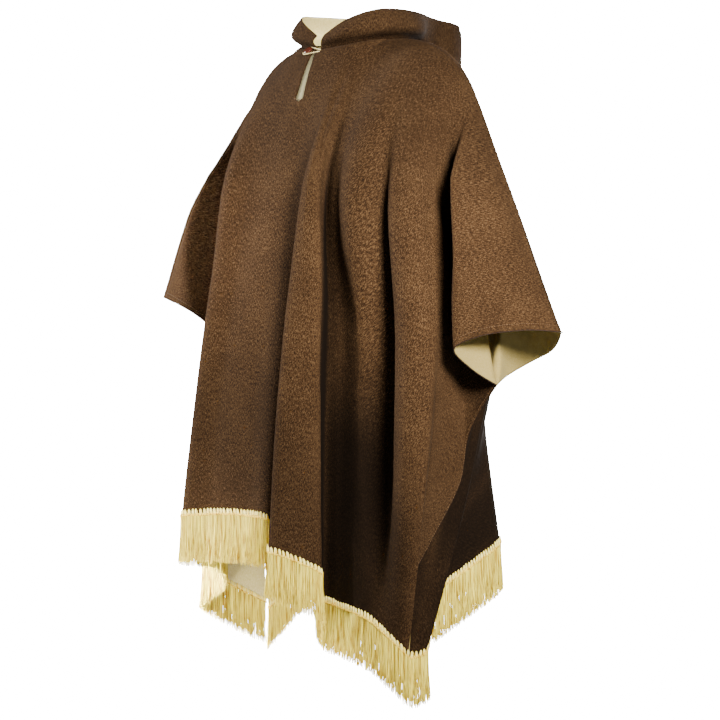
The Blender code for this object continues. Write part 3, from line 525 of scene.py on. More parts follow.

# %% [markdown]
# ## Creases
#
# The tables give the big folds. Cloth also has soft troughs and ridges that start and fade, at
# uneven places. Each row of the tables below is one of them, drawn on the cloth from one point to
# another, with its depth and its width. They are placed one by one, on the hidden sides too.

# %% The creases
# Each row: name, place and share where it starts, place and share where it ends, depth, half width.
FRONT_CREASES = [
    ("pipe_valley_top", 0.080, 0.11, 0.102, 0.36, -0.0040, 0.007),
    ("sleeve_root_top", 0.250, 0.10, 0.268, 0.40, -0.0060, 0.016),
    ("deep_trough", 0.150, 0.42, 0.168, 0.99, -0.0170, 0.040),
    ("sleeve_root_deep", 0.270, 0.30, 0.286, 0.92, -0.0120, 0.020),
    ("bulge_valley_top", 0.184, 0.14, 0.196, 0.50, -0.0040, 0.012),
    ("under_neck_left", 0.020, 0.10, 0.052, 0.60, -0.0030, 0.022),
    ("under_neck_right", -0.030, 0.12, -0.060, 0.70, -0.0025, 0.026),
    ("chest_ridge", -0.085, 0.08, -0.095, 0.55, 0.0030, 0.022),
    ("far_shoulder", -0.150, 0.06, -0.150, 0.45, -0.0035, 0.020),
    ("near_chest", 0.140, 0.05, 0.135, 0.50, -0.0030, 0.016),
    ("near_bulge", 0.172, 0.10, 0.168, 0.62, 0.0040, 0.022),
    ("sleeve_front_pull", 0.292, 0.30, 0.312, 0.80, -0.0035, 0.020),
    ("sleeve_crest", 0.326, 0.15, 0.330, 0.85, 0.0025, 0.022),
    ("far_sleeve_pull", -0.300, 0.25, -0.318, 0.85, -0.0040, 0.022),
]
BACK_CREASES = [
    ("behind_side_seam", 0.246, 0.93, 0.284, 0.945, -0.0090, 0.018),
    ("back_middle", 0.010, 0.15, 0.020, 0.75, -0.0035, 0.026),
    ("back_left_pull", 0.110, 0.08, 0.125, 0.55, -0.0030, 0.020),
    ("back_right_pull", -0.100, 0.10, -0.120, 0.60, -0.0035, 0.024),
    ("back_sleeve", 0.300, 0.20, 0.318, 0.80, -0.0030, 0.020),
    ("back_far_sleeve", -0.300, 0.20, -0.316, 0.80, -0.0030, 0.020),
]
CREASE_STEPS = 60  # points along a crease's line
CREASE_BLUR = 0.3  # of the half width, over which the nearest place on the line is averaged
HELD_SHARE = 0.03  # of a line of cloth, above a sewn side, in which a crease fades out


def crease(grid, outward, rows):
    """Presses each crease of a table into the surface and returns the new points."""
    normals = surface_normals(grid, outward)
    pushed = grid.copy()
    sewn = np.abs(BORDER) > CORNER + NEARLY
    held = np.where(sewn, np.clip((1 - ROWS) / HELD_SHARE, 0, 1)[:, None], 1.0)
    for _, start, top, end, bottom, depth, half_width in rows:
        shares = np.linspace(0, 1, CREASE_STEPS)
        column = np.interp(start + (end - start) * shares, PLACES, np.arange(len(PLACES)))
        row = np.interp(top + (bottom - top) * shares, ROWS, np.arange(len(ROWS)))
        line = grid[np.rint(row).astype(int), np.rint(column).astype(int)]
        gaps = np.linalg.norm(grid[:, :, None, :] - line, axis=-1)
        least = gaps.min(axis=-1)
        weights = np.exp(-((gaps - least[..., None]) / (CREASE_BLUR * half_width)))
        nearest = (weights * shares).sum(axis=-1) / weights.sum(axis=-1)
        fade = np.sin(np.pi * np.clip(nearest, 0.02, 0.98)) ** 0.7  # from nothing, and back to it
        pushed += normals * (depth * fade * np.exp(-((least / half_width) ** 2)) * held)[..., None]
    return pushed


UNEVEN_DEPTH = 0.0016
UNEVEN_SCALE = 11.0  # waves to the metre
UNEVEN_DOWN = 0.55  # the waves are drawn out down the cloth, by one over this
UNEVEN_EDGE = 0.05  # the share of a line in which they fade at each end
UNEVEN_SEEDS = {1: 3.1, -1: 9.4}  # for the front and the back


def uneven(grid, outward):
    """Adds the small waves that a hanging cloth has everywhere, fading at its edges."""
    lift = np.empty(grid.shape[:2])
    for place in np.ndindex(lift.shape):
        x, y, z = grid[place] * UNEVEN_SCALE
        lift[place] = noise.noise(Vector((x + UNEVEN_SEEDS[outward], y, z * UNEVEN_DOWN)))
    edge = np.minimum(np.minimum(ROWS, 1 - ROWS) / UNEVEN_EDGE, 1.0)[:, None]
    return grid + surface_normals(grid, outward) * (UNEVEN_DEPTH * lift * edge)[..., None]


SETTLE_REACH = 0.022  # along the shoulder, in metres
SETTLE_ROWS = (0.02, 0.10, 0.18, 0.34)  # where it starts, is full, and fades out down the cloth
SETTLE_PLACES = (0, 0.03, 0.29, 0.325)  # the same along the shoulder


def settle(grid):
    """Lets the folds run out over the shoulder, where the cloth lies flat on the body."""
    apart = (PLACES[:, None] - PLACES) / SETTLE_REACH
    weights = np.exp(-(apart**2)) * np.gradient(PLACES)
    calm = np.einsum("cd,rdk->rck", weights / weights.sum(axis=1, keepdims=True), grid)
    down = np.interp(ROWS, SETTLE_ROWS, (0, 1, 1, 0))
    across = np.interp(np.abs(PLACES), SETTLE_PLACES, (0, 1, 1, 0))
    return grid + (calm - grid) * (down[:, None] * across)[..., None]


front_grid = uneven(crease(settle(front_grid), 1, FRONT_CREASES), 1)
back_grid = uneven(crease(settle(back_grid), -1, BACK_CREASES), -1)
# The two panels share their sleeve edges and the shoulder seam.
back_grid[:, [0, -1]] = front_grid[:, [0, -1]]
seam = np.abs(PLACES) >= NECK_HALF_WIDTH
back_grid[0, seam] = front_grid[0, seam]
print("creases:", len(FRONT_CREASES), "in front and", len(BACK_CREASES), "behind")

# %% [markdown]
# ## The materials
#
# The cloth is double-faced wool: two layers woven as one, brown outside and cream inside, brushed
# so that fine fibres lie down the cloth. The eye sees soft streaks a few millimetres long, tufts
# between them that catch the light, and almost no shine, because fibres scatter what falls on them.

# %% Wool
STREAKS = (780.0, 210.0, 1.0)  # waves to the metre: a lock of nap is about 1.3 mm by 5 mm
# A fibre of wool is 0.03 mm thick, too fine to show, so the tufts are drawn 1.25 mm across.
TUFTS = 800.0
CLOUDS = 16.0  # patches some 60 mm across, where the nap was brushed a little more or less
NAP_DEPTH = 0.0015  # how far the tips of the nap stand above its roots


def wool(name, deep, dark, middle, light, sheen, relief):
    """Brushed wool whose nap lies down the cloth. The UV map is the flat cut, in metres."""
    scattering = {"Roughness": 0.95, "Specular IOR Level": 0.06, "Sheen Weight": sheen}
    fuzz = {"Sheen Roughness": 0.55, "Sheen Tint": linear(light)}
    made, tree, shader = material(name, {**scattering, **fuzz})
    cut = add(tree, "ShaderNodeUVMap", out="UV", uv_map="cut")
    nap = add(tree, "ShaderNodeMapping", {"Vector": cut, "Scale": STREAKS}, "Vector")
    place = add(tree, "ShaderNodeTexCoord", out="Object")
    # Each row: what the pattern follows, its scale, its detail and roughness, its share of the mix.
    blend = None
    for vector, scale, detail, rough, share in (
        (place, TUFTS, 2.0, 0.7, 1.0),
        (nap, 1.0, 2.0, 0.6, 0.45),
        (place, CLOUDS, 3.0, 0.5, 0.08),
    ):
        values = {"Vector": vector, "Scale": scale, "Detail": detail, "Roughness": rough}
        layer = add(tree, "ShaderNodeTexNoise", values, "Fac")
        values = {0: share, 2: blend, 3: layer}
        blend = add(tree, "ShaderNodeMix", values, 0, data_type="FLOAT") if blend else layer
    ramp = add(tree, "ShaderNodeValToRGB", {"Fac": blend})
    stops = ramp.color_ramp.elements
    stops[0].position, stops[0].color = 0.39, linear(dark)
    stops[1].position, stops[1].color = 0.64, linear(light)
    stops.new(0.50).color = linear(middle)
    # Painted shade: a mesh attribute mixes the deep tone in, darkening the folds and the inside.
    painted_shade = add(tree, "ShaderNodeAttribute", out="Fac", attribute_name="painted_shade")
    tones = {0: painted_shade, 6: ramp.outputs["Color"], 7: linear(deep)}
    shaded = add(tree, "ShaderNodeMix", tones, 2, data_type="RGBA")
    tree.links.new(shaded, shader.inputs["Base Color"])
    bumps = {"Height": blend, "Strength": relief, "Distance": NAP_DEPTH}
    tree.links.new(add(tree, "ShaderNodeBump", bumps, "Normal"), shader.inputs["Normal"])
    return made


# The first colour of each wool is its deepest tone, the painted shade of its folds.
# The outer face: brown wool teased up with wire brushes. Its tips catch the light, its roots don't.
brown_wool = wool("brushed brown wool face", "#0b0603", "#170e07", "#332213", "#604931", 0.03, 0.36)
# The inner face: undyed wool, brushed too. Its golden deepest tone is painted shade.
cream_wool = wool("brushed cream wool face", "#675100", "#c4b67c", "#d8c98c", "#e8dca8", 0.08, 0.4)
# The border: both layers turned in and pressed, so the nap is short and its tones are even.
edge_wool = wool("turned brown wool edge", "#0b0603", "#1e120a", "#342315", "#4c3826", 0.08, 0.4)
# The strip under the slit: cream wool, its tones greyed and darkened with painted shade from the
# slit.
facing_shaded_tones = ("#4a4632", "#817b5e", "#918b6c", "#a19b7c")
facing_wool = wool("cream wool facing in the slit", *facing_shaded_tones, 0.05, 0.3)
print("wool materials:", brown_wool.name, "|", cream_wool.name)

# %% [markdown]
# ## The cloth
#
# A panel is a closed shell 2 mm thick: the brown face outside, the cream face inside, and a narrow
# edge round the border. Its UV map is the flat cut in metres, so the weave follows the cloth.

# %% The flat cut


def flat_cut():
    """Where each point of the grid lay in the cloth before it was hung, in metres."""
    over = np.maximum(np.abs(BORDER) - CORNER, 0.0)
    end = np.stack([np.clip(BORDER, -CORNER, CORNER), -(HALF_LENGTH - over)], axis=1)
    start = np.stack([PLACES, np.zeros(len(PLACES))], axis=1)
    outer = np.abs(PLACES) >= SHOULDER_SPAN - NEARLY
    end[outer] = np.stack([np.sign(PLACES[outer]) * HALF_WIDTH, np.zeros(outer.sum())], axis=1)
    return start + (end - start) * ROWS[:, None, None]


CUT = flat_cut()
print("the cut measures", np.round(np.ptp(CUT.reshape(-1, 2), axis=0), 3), "m")

# %% [markdown]
# ## Painted shade in the folds
#
# Shade is painted into the cloth's colour, darker deep in the folds. An attribute of the mesh says
# how deep each point lies, and the wool mixes its deepest tone in by that. It is worked out from
# the form, and short tables add painted shade where two folds meet, over the chest and at the foot
# of the front, and on the back beside the side seams. Inside, the cream face gets painted shade
# away from the neck and the far hem.

# %% Painted shade in the folds
FOLD_SHADE_SIZES = ((0.050, 0.018), (0.120, 0.060))  # reach along a row, and the depth that is full
FOLD_SHADE_POWER = 1.6
# Less painted shade on the far sleeve, so that it looks lit.
FAR_SLEEVE = ((-0.30, -0.22), (0.2, 1.0))  # places and shares: the far sleeve catches the light
# Patches of painted shade. Each row: place, share, its height in rows, its width in places, and how
# strong.
FRONT_SHADES = [
    (0.155, 0.82, 0.19, 0.050, 0.90),
    (0.150, 0.98, 0.16, 0.050, 0.86),
    (0.205, 0.90, 0.14, 0.032, 0.55),
    (0.00, 0.05, 0.30, 0.50, 0.26),
    (0.02, 1.02, 0.30, 0.13, 0.30),
]
BACK_SHADES = [
    (0.225, 0.76, 0.17, 0.055, 0.90),
    (0.205, 0.93, 0.10, 0.050, 0.90),
]
# Painted shade on the back, near each side seam.
SEAM_SHADE = 0.8  # where the back hangs in behind a side seam
SEAM_REACH = 0.16  # as a share of a line of cloth
# Painted shade on the cream face, far inside the garment.
INSIDE_SHADE = 0.74  # of the deepest tone, far inside the garment


def measure(points):
    """Distances along a line of points."""
    return np.concatenate([[0], np.cumsum(np.linalg.norm(np.diff(points, axis=0), axis=1))])


def painted_fold_shade(grid, outward):
    """Painted shade for each point, from 0 to 1: how deep it lies in a fold, and the patches."""
    normals = surface_normals(grid, outward)
    found = np.zeros(grid.shape[:2])
    for row, line in enumerate(grid):
        along = measure(line)
        for reach, full in FOLD_SHADE_SIZES:
            weights = np.exp(-(((along[:, None] - along) / reach) ** 2)) * np.gradient(along)
            calm = weights @ line / weights.sum(axis=1, keepdims=True)
            depth = ((calm - line) * normals[row]).sum(axis=1) / full
            found[row] = np.maximum(found[row], np.clip(depth, 0, 1) ** FOLD_SHADE_POWER)
    found *= np.interp(PLACES, *FAR_SLEEVE)
    # The tables' patches of painted shade.
    for place, share, high, wide, strong in FRONT_SHADES if outward == 1 else BACK_SHADES:
        down, across = (ROWS[:, None] - share) / high, (PLACES - place) / wide
        found = np.maximum(found, strong * np.exp(-(down**4) - across**4))
    # Painted shade on the back near each sewn side seam.
    if outward == -1:
        near = SEAM_SHADE * np.exp(-(((1 - ROWS) / SEAM_REACH) ** 2))[:, None]
        found = np.where(np.abs(BORDER) > CORNER, np.maximum(found, near), found)
    return found.ravel()


def inside_shade():
    """Painted shade for each point of the cream face: none near the neck and at the far hem."""
    near_neck = np.exp(-((ROWS[:, None] / 0.45) ** 2) - (PLACES / 0.20) ** 4)
    far_hem = np.clip((ROWS[:, None] - 0.80) / 0.10, 0, 1)
    far_hem = far_hem * np.clip((-0.10 - PLACES) / 0.05, 0, 1)
    return (INSIDE_SHADE * (1 - np.maximum(near_neck, far_hem))).ravel()


# %% A shell from a surface


def shell(name, points, normals, cut, quads, thickness, finishes, painted_shade, inside):
    """A closed shell. finishes are the outer face, the inner face and the edge."""
    count = len(points)
    quads = np.array(quads)
    corners = np.concatenate([points + normals * thickness / 2, points - normals * thickness / 2])
    faces = quads.tolist() + (quads[:, [0, 3, 2, 1]] + count).tolist()
    sides = np.concatenate([quads[:, [k, (k + 1) % 4]] for k in range(4)]).tolist()
    known = set(map(tuple, sides))
    rim = [(b, a, a + count, b + count) for a, b in sides if (b, a) not in known]
    mesh = bpy.data.meshes.new(name)
    mesh.from_pydata(corners.tolist(), [], faces + rim)
    for finish in finishes:
        mesh.materials.append(finish)
    kinds = np.repeat([0, 1, 2], [len(quads), len(quads), len(rim)]).astype(np.int32)
    mesh.polygons.foreach_set("material_index", kinds)
    layer = mesh.uv_layers.new(name="cut")
    loops = np.empty(len(mesh.loops), np.int32)
    mesh.loops.foreach_get("vertex_index", loops)
    layer.data.foreach_set("uv", np.concatenate([cut, cut])[loops].astype(np.float32).ravel())
    # The painted shade of the outer points, then of the inner ones, which the wool mixes in.
    layer = mesh.attributes.new("painted_shade", "FLOAT", "POINT")
    layer.data.foreach_set("value", np.concatenate([painted_shade, inside]).astype(np.float32))
    mesh.shade_smooth()
    mesh.update()
    return put(name, mesh)


def grid_ids(grid):
    return np.arange(grid.shape[0] * grid.shape[1]).reshape(grid.shape[:2])


def grid_quads(ids, outward):
    near, far = ids[:, :-1], ids[:, 1:]
    quads = np.stack([near[:-1], near[1:], far[1:], far[:-1]], axis=-1).reshape(-1, 4)
    return quads if outward == 1 else quads[:, ::-1]


def worn(piece):
    """The garment is one body, so each piece rides on its root."""
    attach(piece, "root")


# %% [markdown]
# ## The facing of the slit
#
# A cut edge of wool frays, so a narrow strip of cream wool is sewn behind the neck slit. The slit
# gapes a little and the strip shows in it as a pale line. It is a flat shell that follows the
# middle line of the front, a little wider than the slit.

# %% The facing
FACING_DEPTH = 0.0026  # behind the middle of the front's wall
FACING_LAP = 0.004  # past each edge of the slit
FACING_BELOW = 0.015  # past the foot of the slit, as a share of the middle line
FACING_WALL = 0.0008
FACING_COLUMNS = 5


def slit_gap(share):
    """Half of the slit's width at a share of the middle line."""
    return (SLIT_GAP_TOP + (SLIT_GAP_END - SLIT_GAP_TOP) * share / SLIT_SHARE) / 2


rows = np.flatnonzero(ROWS <= SLIT_SHARE + FACING_BELOW)[1:]
ways = surface_normals(front_grid, 1)[rows, MIDDLE]
line = front_grid[rows, MIDDLE] - ways * FACING_DEPTH
across = np.linspace(-1, 1, FACING_COLUMNS)[:, None] * np.array([1.0, 0, 0])
wide = (slit_gap(ROWS[rows]) + FACING_LAP)[:, None, None]
points = line[:, None] + across * wide
flat = (CUT[rows, MIDDLE][:, None] + across[:, :2] * wide).reshape(-1, 2)
shade = np.zeros(points.shape[0] * points.shape[1])
facing = shell(
    "neck_slit_facing",
    points.reshape(-1, 3),
    np.repeat(ways, FACING_COLUMNS, axis=0),
    flat,
    grid_quads(grid_ids(points), 1),
    FACING_WALL,
    (facing_wool, facing_wool, facing_wool),
    shade,
    shade,
)
worn(facing)
print("the facing has", len(facing.data.polygons), "faces")

# %% [markdown]
# ## The two panels
#
# The front and the back are one surface each, turned into a shell. The front is parted along the
# neck slit, and the cloth beside the slit moves aside to let it gape.

# %% The panels
SLIT_NEIGHBOURS = 6  # columns on each side of the slit that make room for it
BOTH_FACES = (brown_wool, cream_wool, edge_wool)


def panel(name, grid, outward):
    """The front (outward 1), parted along the neck slit, or the back (-1), as a shell."""
    ids = grid_ids(grid)
    normals = surface_normals(grid, outward)
    points, flat, ways = grid.reshape(-1, 3).copy(), CUT.reshape(-1, 2), normals.reshape(-1, 3)
    # Painted shade for the brown face and for the cream face.
    painted_shade, inside = painted_fold_shade(grid, outward), inside_shade()
    quads = grid_quads(ids, outward)
    if outward == 1:
        slit = np.flatnonzero(ROWS <= SLIT_SHARE)
        cut = ids[slit, MIDDLE]
        gaps = slit_gap(ROWS[slit])
        copies = points[cut].copy()
        copies[:, 0] += gaps
        for step in range(SLIT_NEIGHBOURS):
            room = gaps * (1 - step / SLIT_NEIGHBOURS)
            points[ids[slit, MIDDLE - step], 0] -= room
            if step:
                points[ids[slit, MIDDLE + step], 0] += room
        left_ids = ids[:, MIDDLE:].copy()
        left_ids[slit, 0] = len(points) + np.arange(len(slit))
        points = np.concatenate([points, copies])
        both = (flat, ways, painted_shade, inside)
        flat, ways, painted_shade, inside = (np.concatenate([values, values[cut]]) for values in both)
        quads = np.concatenate([grid_quads(ids[:, : MIDDLE + 1], 1), grid_quads(left_ids, 1)])
    made = shell(name, points, ways, flat, quads, WALL, BOTH_FACES, painted_shade, inside)
    # The facing is turned out along the open end of each side seam, so a cream line edges it.
    border = np.abs(BORDER)
    turned = set(ids[-1, (border >= CORNER - NEARLY) & (border <= CORNER + SIDE_SLIT)].tolist())
    for face in made.data.polygons[: len(quads)]:
        if len(turned.intersection(face.vertices)) == 2:
            face.material_index = 1
    return made


front_cloth = panel("front_cloth", front_grid, 1)
back_cloth = panel("back_cloth", back_grid, -1)
print("cloth faces:", len(front_cloth.data.polygons), len(back_cloth.data.polygons))

# %% [markdown]
# ## The hood
#
# The hood is made of two halves, sewn to the neck hole and joined by a seam along the crown. It is
# down, so each half rolls outwards from the neck seam and back over itself, and both run back to
# the crown seam behind the neck.

# %% The hood's sections
# The left half of the hood, from the front of the neck hole round to its crown seam, as sections:
# lower edge across, behind, up; belly across, behind, up; rim across, behind, up.
HOOD_SECTIONS = [
    (0.0045, -0.091, -0.0146, 0.010, -0.096, -0.004, 0.009, -0.088, 0.006),
    (0.044, -0.078, -0.0106, 0.059, -0.090, 0.006, 0.053, -0.077, 0.030),
    (0.073, -0.051, -0.0036, 0.100, -0.058, 0.013, 0.086, -0.048, 0.044),
    (0.088, 0.000, 0.0029, 0.113, -0.004, 0.018, 0.094, -0.004, 0.047),
    (0.069, 0.043, 0.0034, 0.096, 0.050, 0.016, 0.076, 0.060, 0.047),
    (0.034, 0.066, 0.0034, 0.054, 0.094, 0.008, 0.044, 0.120, 0.046),
    (0.005, 0.082, 0.0009, 0.026, 0.135, -0.014, 0.024, 0.168, 0.045),
    (0.0035, 0.152, -0.072, 0.020, 0.188, -0.036, 0.014, 0.210, 0.043),
    (0.0025, 0.195, -0.185, 0.005, 0.232, -0.075, 0.003, 0.240, 0.039),
]

# %% The hood
HOOD_ALONG = 96
HOOD_UP = 26
HOOD_FULL = 40  # the section whose height up the cloth is taken as the hood's
# Painted shade over the hood's whole brown face, to darken it; its cream face gets none.
HOOD_SHADE = 0.25
HOOD_ROUND = 0.016  # the cloth rounds the corner where the top edge meets the crown seam
HOOD_TUCK = 0.004  # the lower edge is tucked this far under the neck edge
TUCK_LEVELS = 4


def hood_half(name, side):
    sections = np.array(HOOD_SECTIONS).reshape(len(HOOD_SECTIONS), 3, 3)
    at = np.linspace(0, len(sections) - 1, HOOD_ALONG + 1)
    levels = [spline(np.arange(len(sections)), sections[:, level], at) for level in range(3)]
    heights = np.linspace(0, 2, HOOD_UP + 1)
    grid = np.array([spline([0, 1, 2], knots, heights) for knots in zip(*levels)])
    grid[:, :TUCK_LEVELS, 2] -= HOOD_TUCK * (1 - np.arange(TUCK_LEVELS) / TUCK_LEVELS)
    corner = grid[-1, (grid[-1, :, 1] + grid[-1, :, 2]).argmax()]
    near = np.clip(1 - np.linalg.norm(grid - corner, axis=-1) / HOOD_ROUND, 0, 1) ** 2
    grid[..., 1:] -= (near * HOOD_ROUND * 0.3)[..., None]
    cut = np.meshgrid(measure(grid[:, 0]), measure(grid[HOOD_FULL]), indexing="ij")
    cut = np.stack(cut, axis=-1).reshape(-1, 2)
    turn = np.array([side, 1, 1])
    points, ways = (v.reshape(-1, 3) * turn for v in (grid, surface_normals(grid, 1)))
    quads = grid_quads(grid_ids(grid), side)
    # The brown face gets the painted shade, the cream face none.
    shade = np.full(len(points), HOOD_SHADE)
    return shell(name, points, ways, cut, quads, WALL, BOTH_FACES, shade, 0 * shade)


hood_left, hood_right = hood_half("hood_left_cloth", 1), hood_half("hood_right_cloth", -1)
print("hood faces:", len(hood_left.data.polygons) + len(hood_right.data.polygons))

# %% [markdown]
# ## The trim
#
# Along each hem runs a bought fringe: a heading of small upright loops that look like the teeth of
# a comb, a twisted cord below them, and thousands of soft yarns that hang from it. The heading
# wraps the edge, so it shows inside too. Each part repeats, so Geometry Nodes lay it on the hem.

# %% Yarn
# The colour runs along each yarn: a tone changes in 1.4 mm across, and in 110 mm down.
YARN_STREAKS = (700.0, 700.0, 9.0)


def yarn(name, dark, light, roughness=0.6, sheen=0.0):
    """Spun yarn, cord or thread. Its fibres lie close and along it, so it shines a little."""
    values = {"Roughness": roughness, "Specular IOR Level": 0.3, "Sheen Weight": sheen}
    made, tree, shader = material(name, values)
    place = add(tree, "ShaderNodeTexCoord", out="Object")
    along = add(tree, "ShaderNodeMapping", {"Vector": place, "Scale": YARN_STREAKS}, "Vector")
    streaks = add(tree, "ShaderNodeTexNoise", {"Vector": along, "Scale": 1.0, "Detail": 2.0}, "Fac")
    ramp = add(tree, "ShaderNodeValToRGB", {"Fac": streaks})
    stops = ramp.color_ramp.elements
    stops[0].position, stops[0].color = 0.40, linear(dark)
    stops[1].position, stops[1].color = 0.52, linear(light)
    tree.links.new(ramp.outputs["Color"], shader.inputs["Base Color"])
    return made


# The fringe: combed and barely twisted, so light passes through it and its shaded side glows gold.
strand_yarn = yarn("combed cream wool yarn", "#ac8208", "#ffee60")
# The heading's teeth: yarn knitted to a round chain, plumper and paler than the strands.
tooth_yarn = yarn("cream chainette yarn", "#f2cc44", "#fff290")
# The cord under the teeth: two strands twisted hard, so that dark grooves cross it.
cord_yarn = yarn("golden twisted cord", "#a87c10", "#ffe050")
# Polyester sewing thread: the piping of the cuffs nearly matches the cloth, the stitches are paler.
thread_yarn = yarn("dark brown sewing thread", "#140b05", "#2e1c0e")
pale_thread = yarn("pale brown sewing thread", "#3a2816", "#5e4428")

# %% A path to lay things along


def path_along(name, points, up, out):
    """A line of points as an edge mesh, with the two directions that a repeated piece turns to."""
    mesh = bpy.data.meshes.new(name)
    mesh.from_pydata(points.tolist(), [(k, k + 1) for k in range(len(points) - 1)], [])
    for label, values in (("up", up), ("out", out)):
        layer = mesh.attributes.new(label, "FLOAT_VECTOR", "POINT")
        layer.data.foreach_set("vector", values.astype(np.float32).ravel())
    return put(name, mesh)


def hem_path(name, grid, outward, side, lift, drop=0.0):
    """The hem of a panel on its outer (side 1) or inner face, lifted off it and dropped."""
    hung = np.flatnonzero(np.abs(BORDER) <= CORNER + NEARLY)
    out = surface_normals(grid, outward)[-1, hung] * side
    hem, above = grid[-1, hung], grid[-4, hung]
    up = unit(above - hem)
    return path_along(name, hem + out * (WALL / 2 + lift) - up * drop, up, out)


# %% The tooth, the cord's twist and the stitch
BLOB_BLUNT = 0.42  # lower is blunter


def blob(name, length, width, depth, rings, sides, lean, finish):
    """A rounded bar along +Z from the origin, width along X and depth along Y."""
    mesh = bpy.data.meshes.new(name)
    points, faces = [(0.0, 0.0, 0.0)], []
    for ring in range(1, rings):
        share = ring / rings
        wide = math.sin(math.pi * share) ** BLOB_BLUNT
        for k in range(sides):
            turn = 2 * math.pi * k / sides
            x = math.cos(turn) * width / 2 * wide + lean * length * share
            points.append((x, math.sin(turn) * depth / 2 * wide, length * share))
    points.append((lean * length, 0.0, length))
    for k in range(sides):
        after = (k + 1) % sides
        faces.append((0, 1 + after, 1 + k))
        for ring in range(rings - 2):
            low, high = 1 + ring * sides, 1 + (ring + 1) * sides
            faces.append((low + k, low + after, high + after, high + k))
        last = 1 + (rings - 2) * sides
        faces.append((last + k, last + after, len(points) - 1))
    mesh.from_pydata(points, [], faces)
    mesh.shade_smooth()
    mesh.materials.append(finish)
    return put(name, mesh)


# Each row: name, length, width, depth, rings, sides, lean, finish.
SHAPES = [
    ("tooth", 0.0115, 0.0047, 0.0034, 7, 8, 0.20, tooth_yarn),
    ("twist", 0.0052, 0.0030, 0.0034, 5, 7, 0.55, cord_yarn),
    ("stitch", 0.0034, 0.0009, 0.0007, 5, 6, 0.0, pale_thread),
    ("piping", 0.0050, 0.0020, 0.0020, 5, 8, 0.0, thread_yarn),
]
tooth, twist, stitch, piping = (blob(*row) for row in SHAPES)

# %% Geometry Nodes trees


def path_tree(name, numbers, shape=False):
    """A new tree with named inputs, those inputs, and even points along the path given."""
    tree = bpy.data.node_groups.new(name, "GeometryNodeTree")
    kinds = [("Geometry", "Geometry")] + [("Shape", "Object")] * shape
    kinds += [(label, "Float") for label in numbers] + [("Seed", "Int"), ("Finish", "Material")]
    for label, kind in kinds:
        tree.interface.new_socket(label, in_out="INPUT", socket_type="NodeSocket" + kind)
    tree.interface.new_socket("Geometry", in_out="OUTPUT", socket_type="NodeSocketGeometry")
    given = add(tree, "NodeGroupInput").outputs
    path = add(tree, "GeometryNodeMeshToCurve", {"Mesh": given["Geometry"]}, "Curve")
    pitch = {"Curve": path, "Length": given["Pitch"]}
    return tree, given, add(tree, "GeometryNodeResampleCurve", pitch, "Curve", mode="LENGTH")


def repeat_tree(name):
    """Copies of one object stand along a path, turned by its up and out attributes."""
    tree, given, even = path_tree(name, ("Pitch", "Size spread", "Turn spread"), True)
    axes = {}
    for axis, label in (("Primary Axis", "up"), ("Secondary Axis", "out")):
        kind = "GeometryNodeInputNamedAttribute"
        axes[axis] = add(tree, kind, {"Name": label}, "Attribute", data_type="FLOAT_VECTOR")
    facing = add(tree, "FunctionNodeAxesToRotation", axes)
    facing.primary_axis, facing.secondary_axis = "Z", "Y"
    ends = []
    for first, label, operation in (
        (0.0, "Turn spread", "SUBTRACT"),
        (1.0, "Size spread", "SUBTRACT"),
        (1.0, "Size spread", "ADD"),
    ):
        values = {0: first, 1: given[label]}
        ends.append(add(tree, "ShaderNodeMath", values, 0, operation=operation))
    less, smallest, largest = ends
    low = add(tree, "ShaderNodeCombineXYZ", {"Y": less}, 0)
    high = add(tree, "ShaderNodeCombineXYZ", {"Y": given["Turn spread"]}, 0)
    ends = {"Min": low, "Max": high, "Seed": given["Seed"]}
    wobble = add(tree, "FunctionNodeRandomValue", ends, "Value", data_type="FLOAT_VECTOR")
    turns = {"Rotation": facing.outputs["Rotation"], "Rotate By": wobble}
    turned = add(tree, "FunctionNodeRotateRotation", turns, "Rotation", rotation_space="LOCAL")
    size = add(tree, "FunctionNodeRandomValue", {2: smallest, 3: largest}, 1, data_type="FLOAT")
    shape = add(tree, "GeometryNodeObjectInfo", {"Object": given["Shape"]}, "Geometry")
    copies = {"Points": even, "Instance": shape, "Rotation": turned, "Scale": size}
    copies = add(tree, "GeometryNodeInstanceOnPoints", copies, "Instances")
    real = add(tree, "GeometryNodeRealizeInstances", {"Geometry": copies}, "Geometry")
    finish = {"Geometry": real, "Material": given["Finish"]}
    done = add(tree, "GeometryNodeSetMaterial", finish, "Geometry")
    add(tree, "NodeGroupOutput", {"Geometry": done})
    return tree


# %% A tree for hanging yarns
YARN_KNOTS = 5  # points down each yarn
YARN_SIDES = 3
BEND_POWER = 1.6  # a yarn hangs straight at its root and strays at its end
YARN_TAPER = 0.30
CLUMPS = (190, 190, 16)  # waves to the metre: yarns within 5 mm of each other sway together
OWN_SWAY = ((-1, -1, -1), (1, 1, 0.2))  # each yarn's own way, down more than up
YARNS = {
    "Pitch": 0.00018,
    "Length": 0.080,
    "Length spread": 0.20,
    "Radius": 0.00050,
    "Thickness": 0.0016,
    "Clump sway": 0.0022,
    "Own sway": 0.0024,
    "Flare": 0.003,
    "Finish": strand_yarn,
}


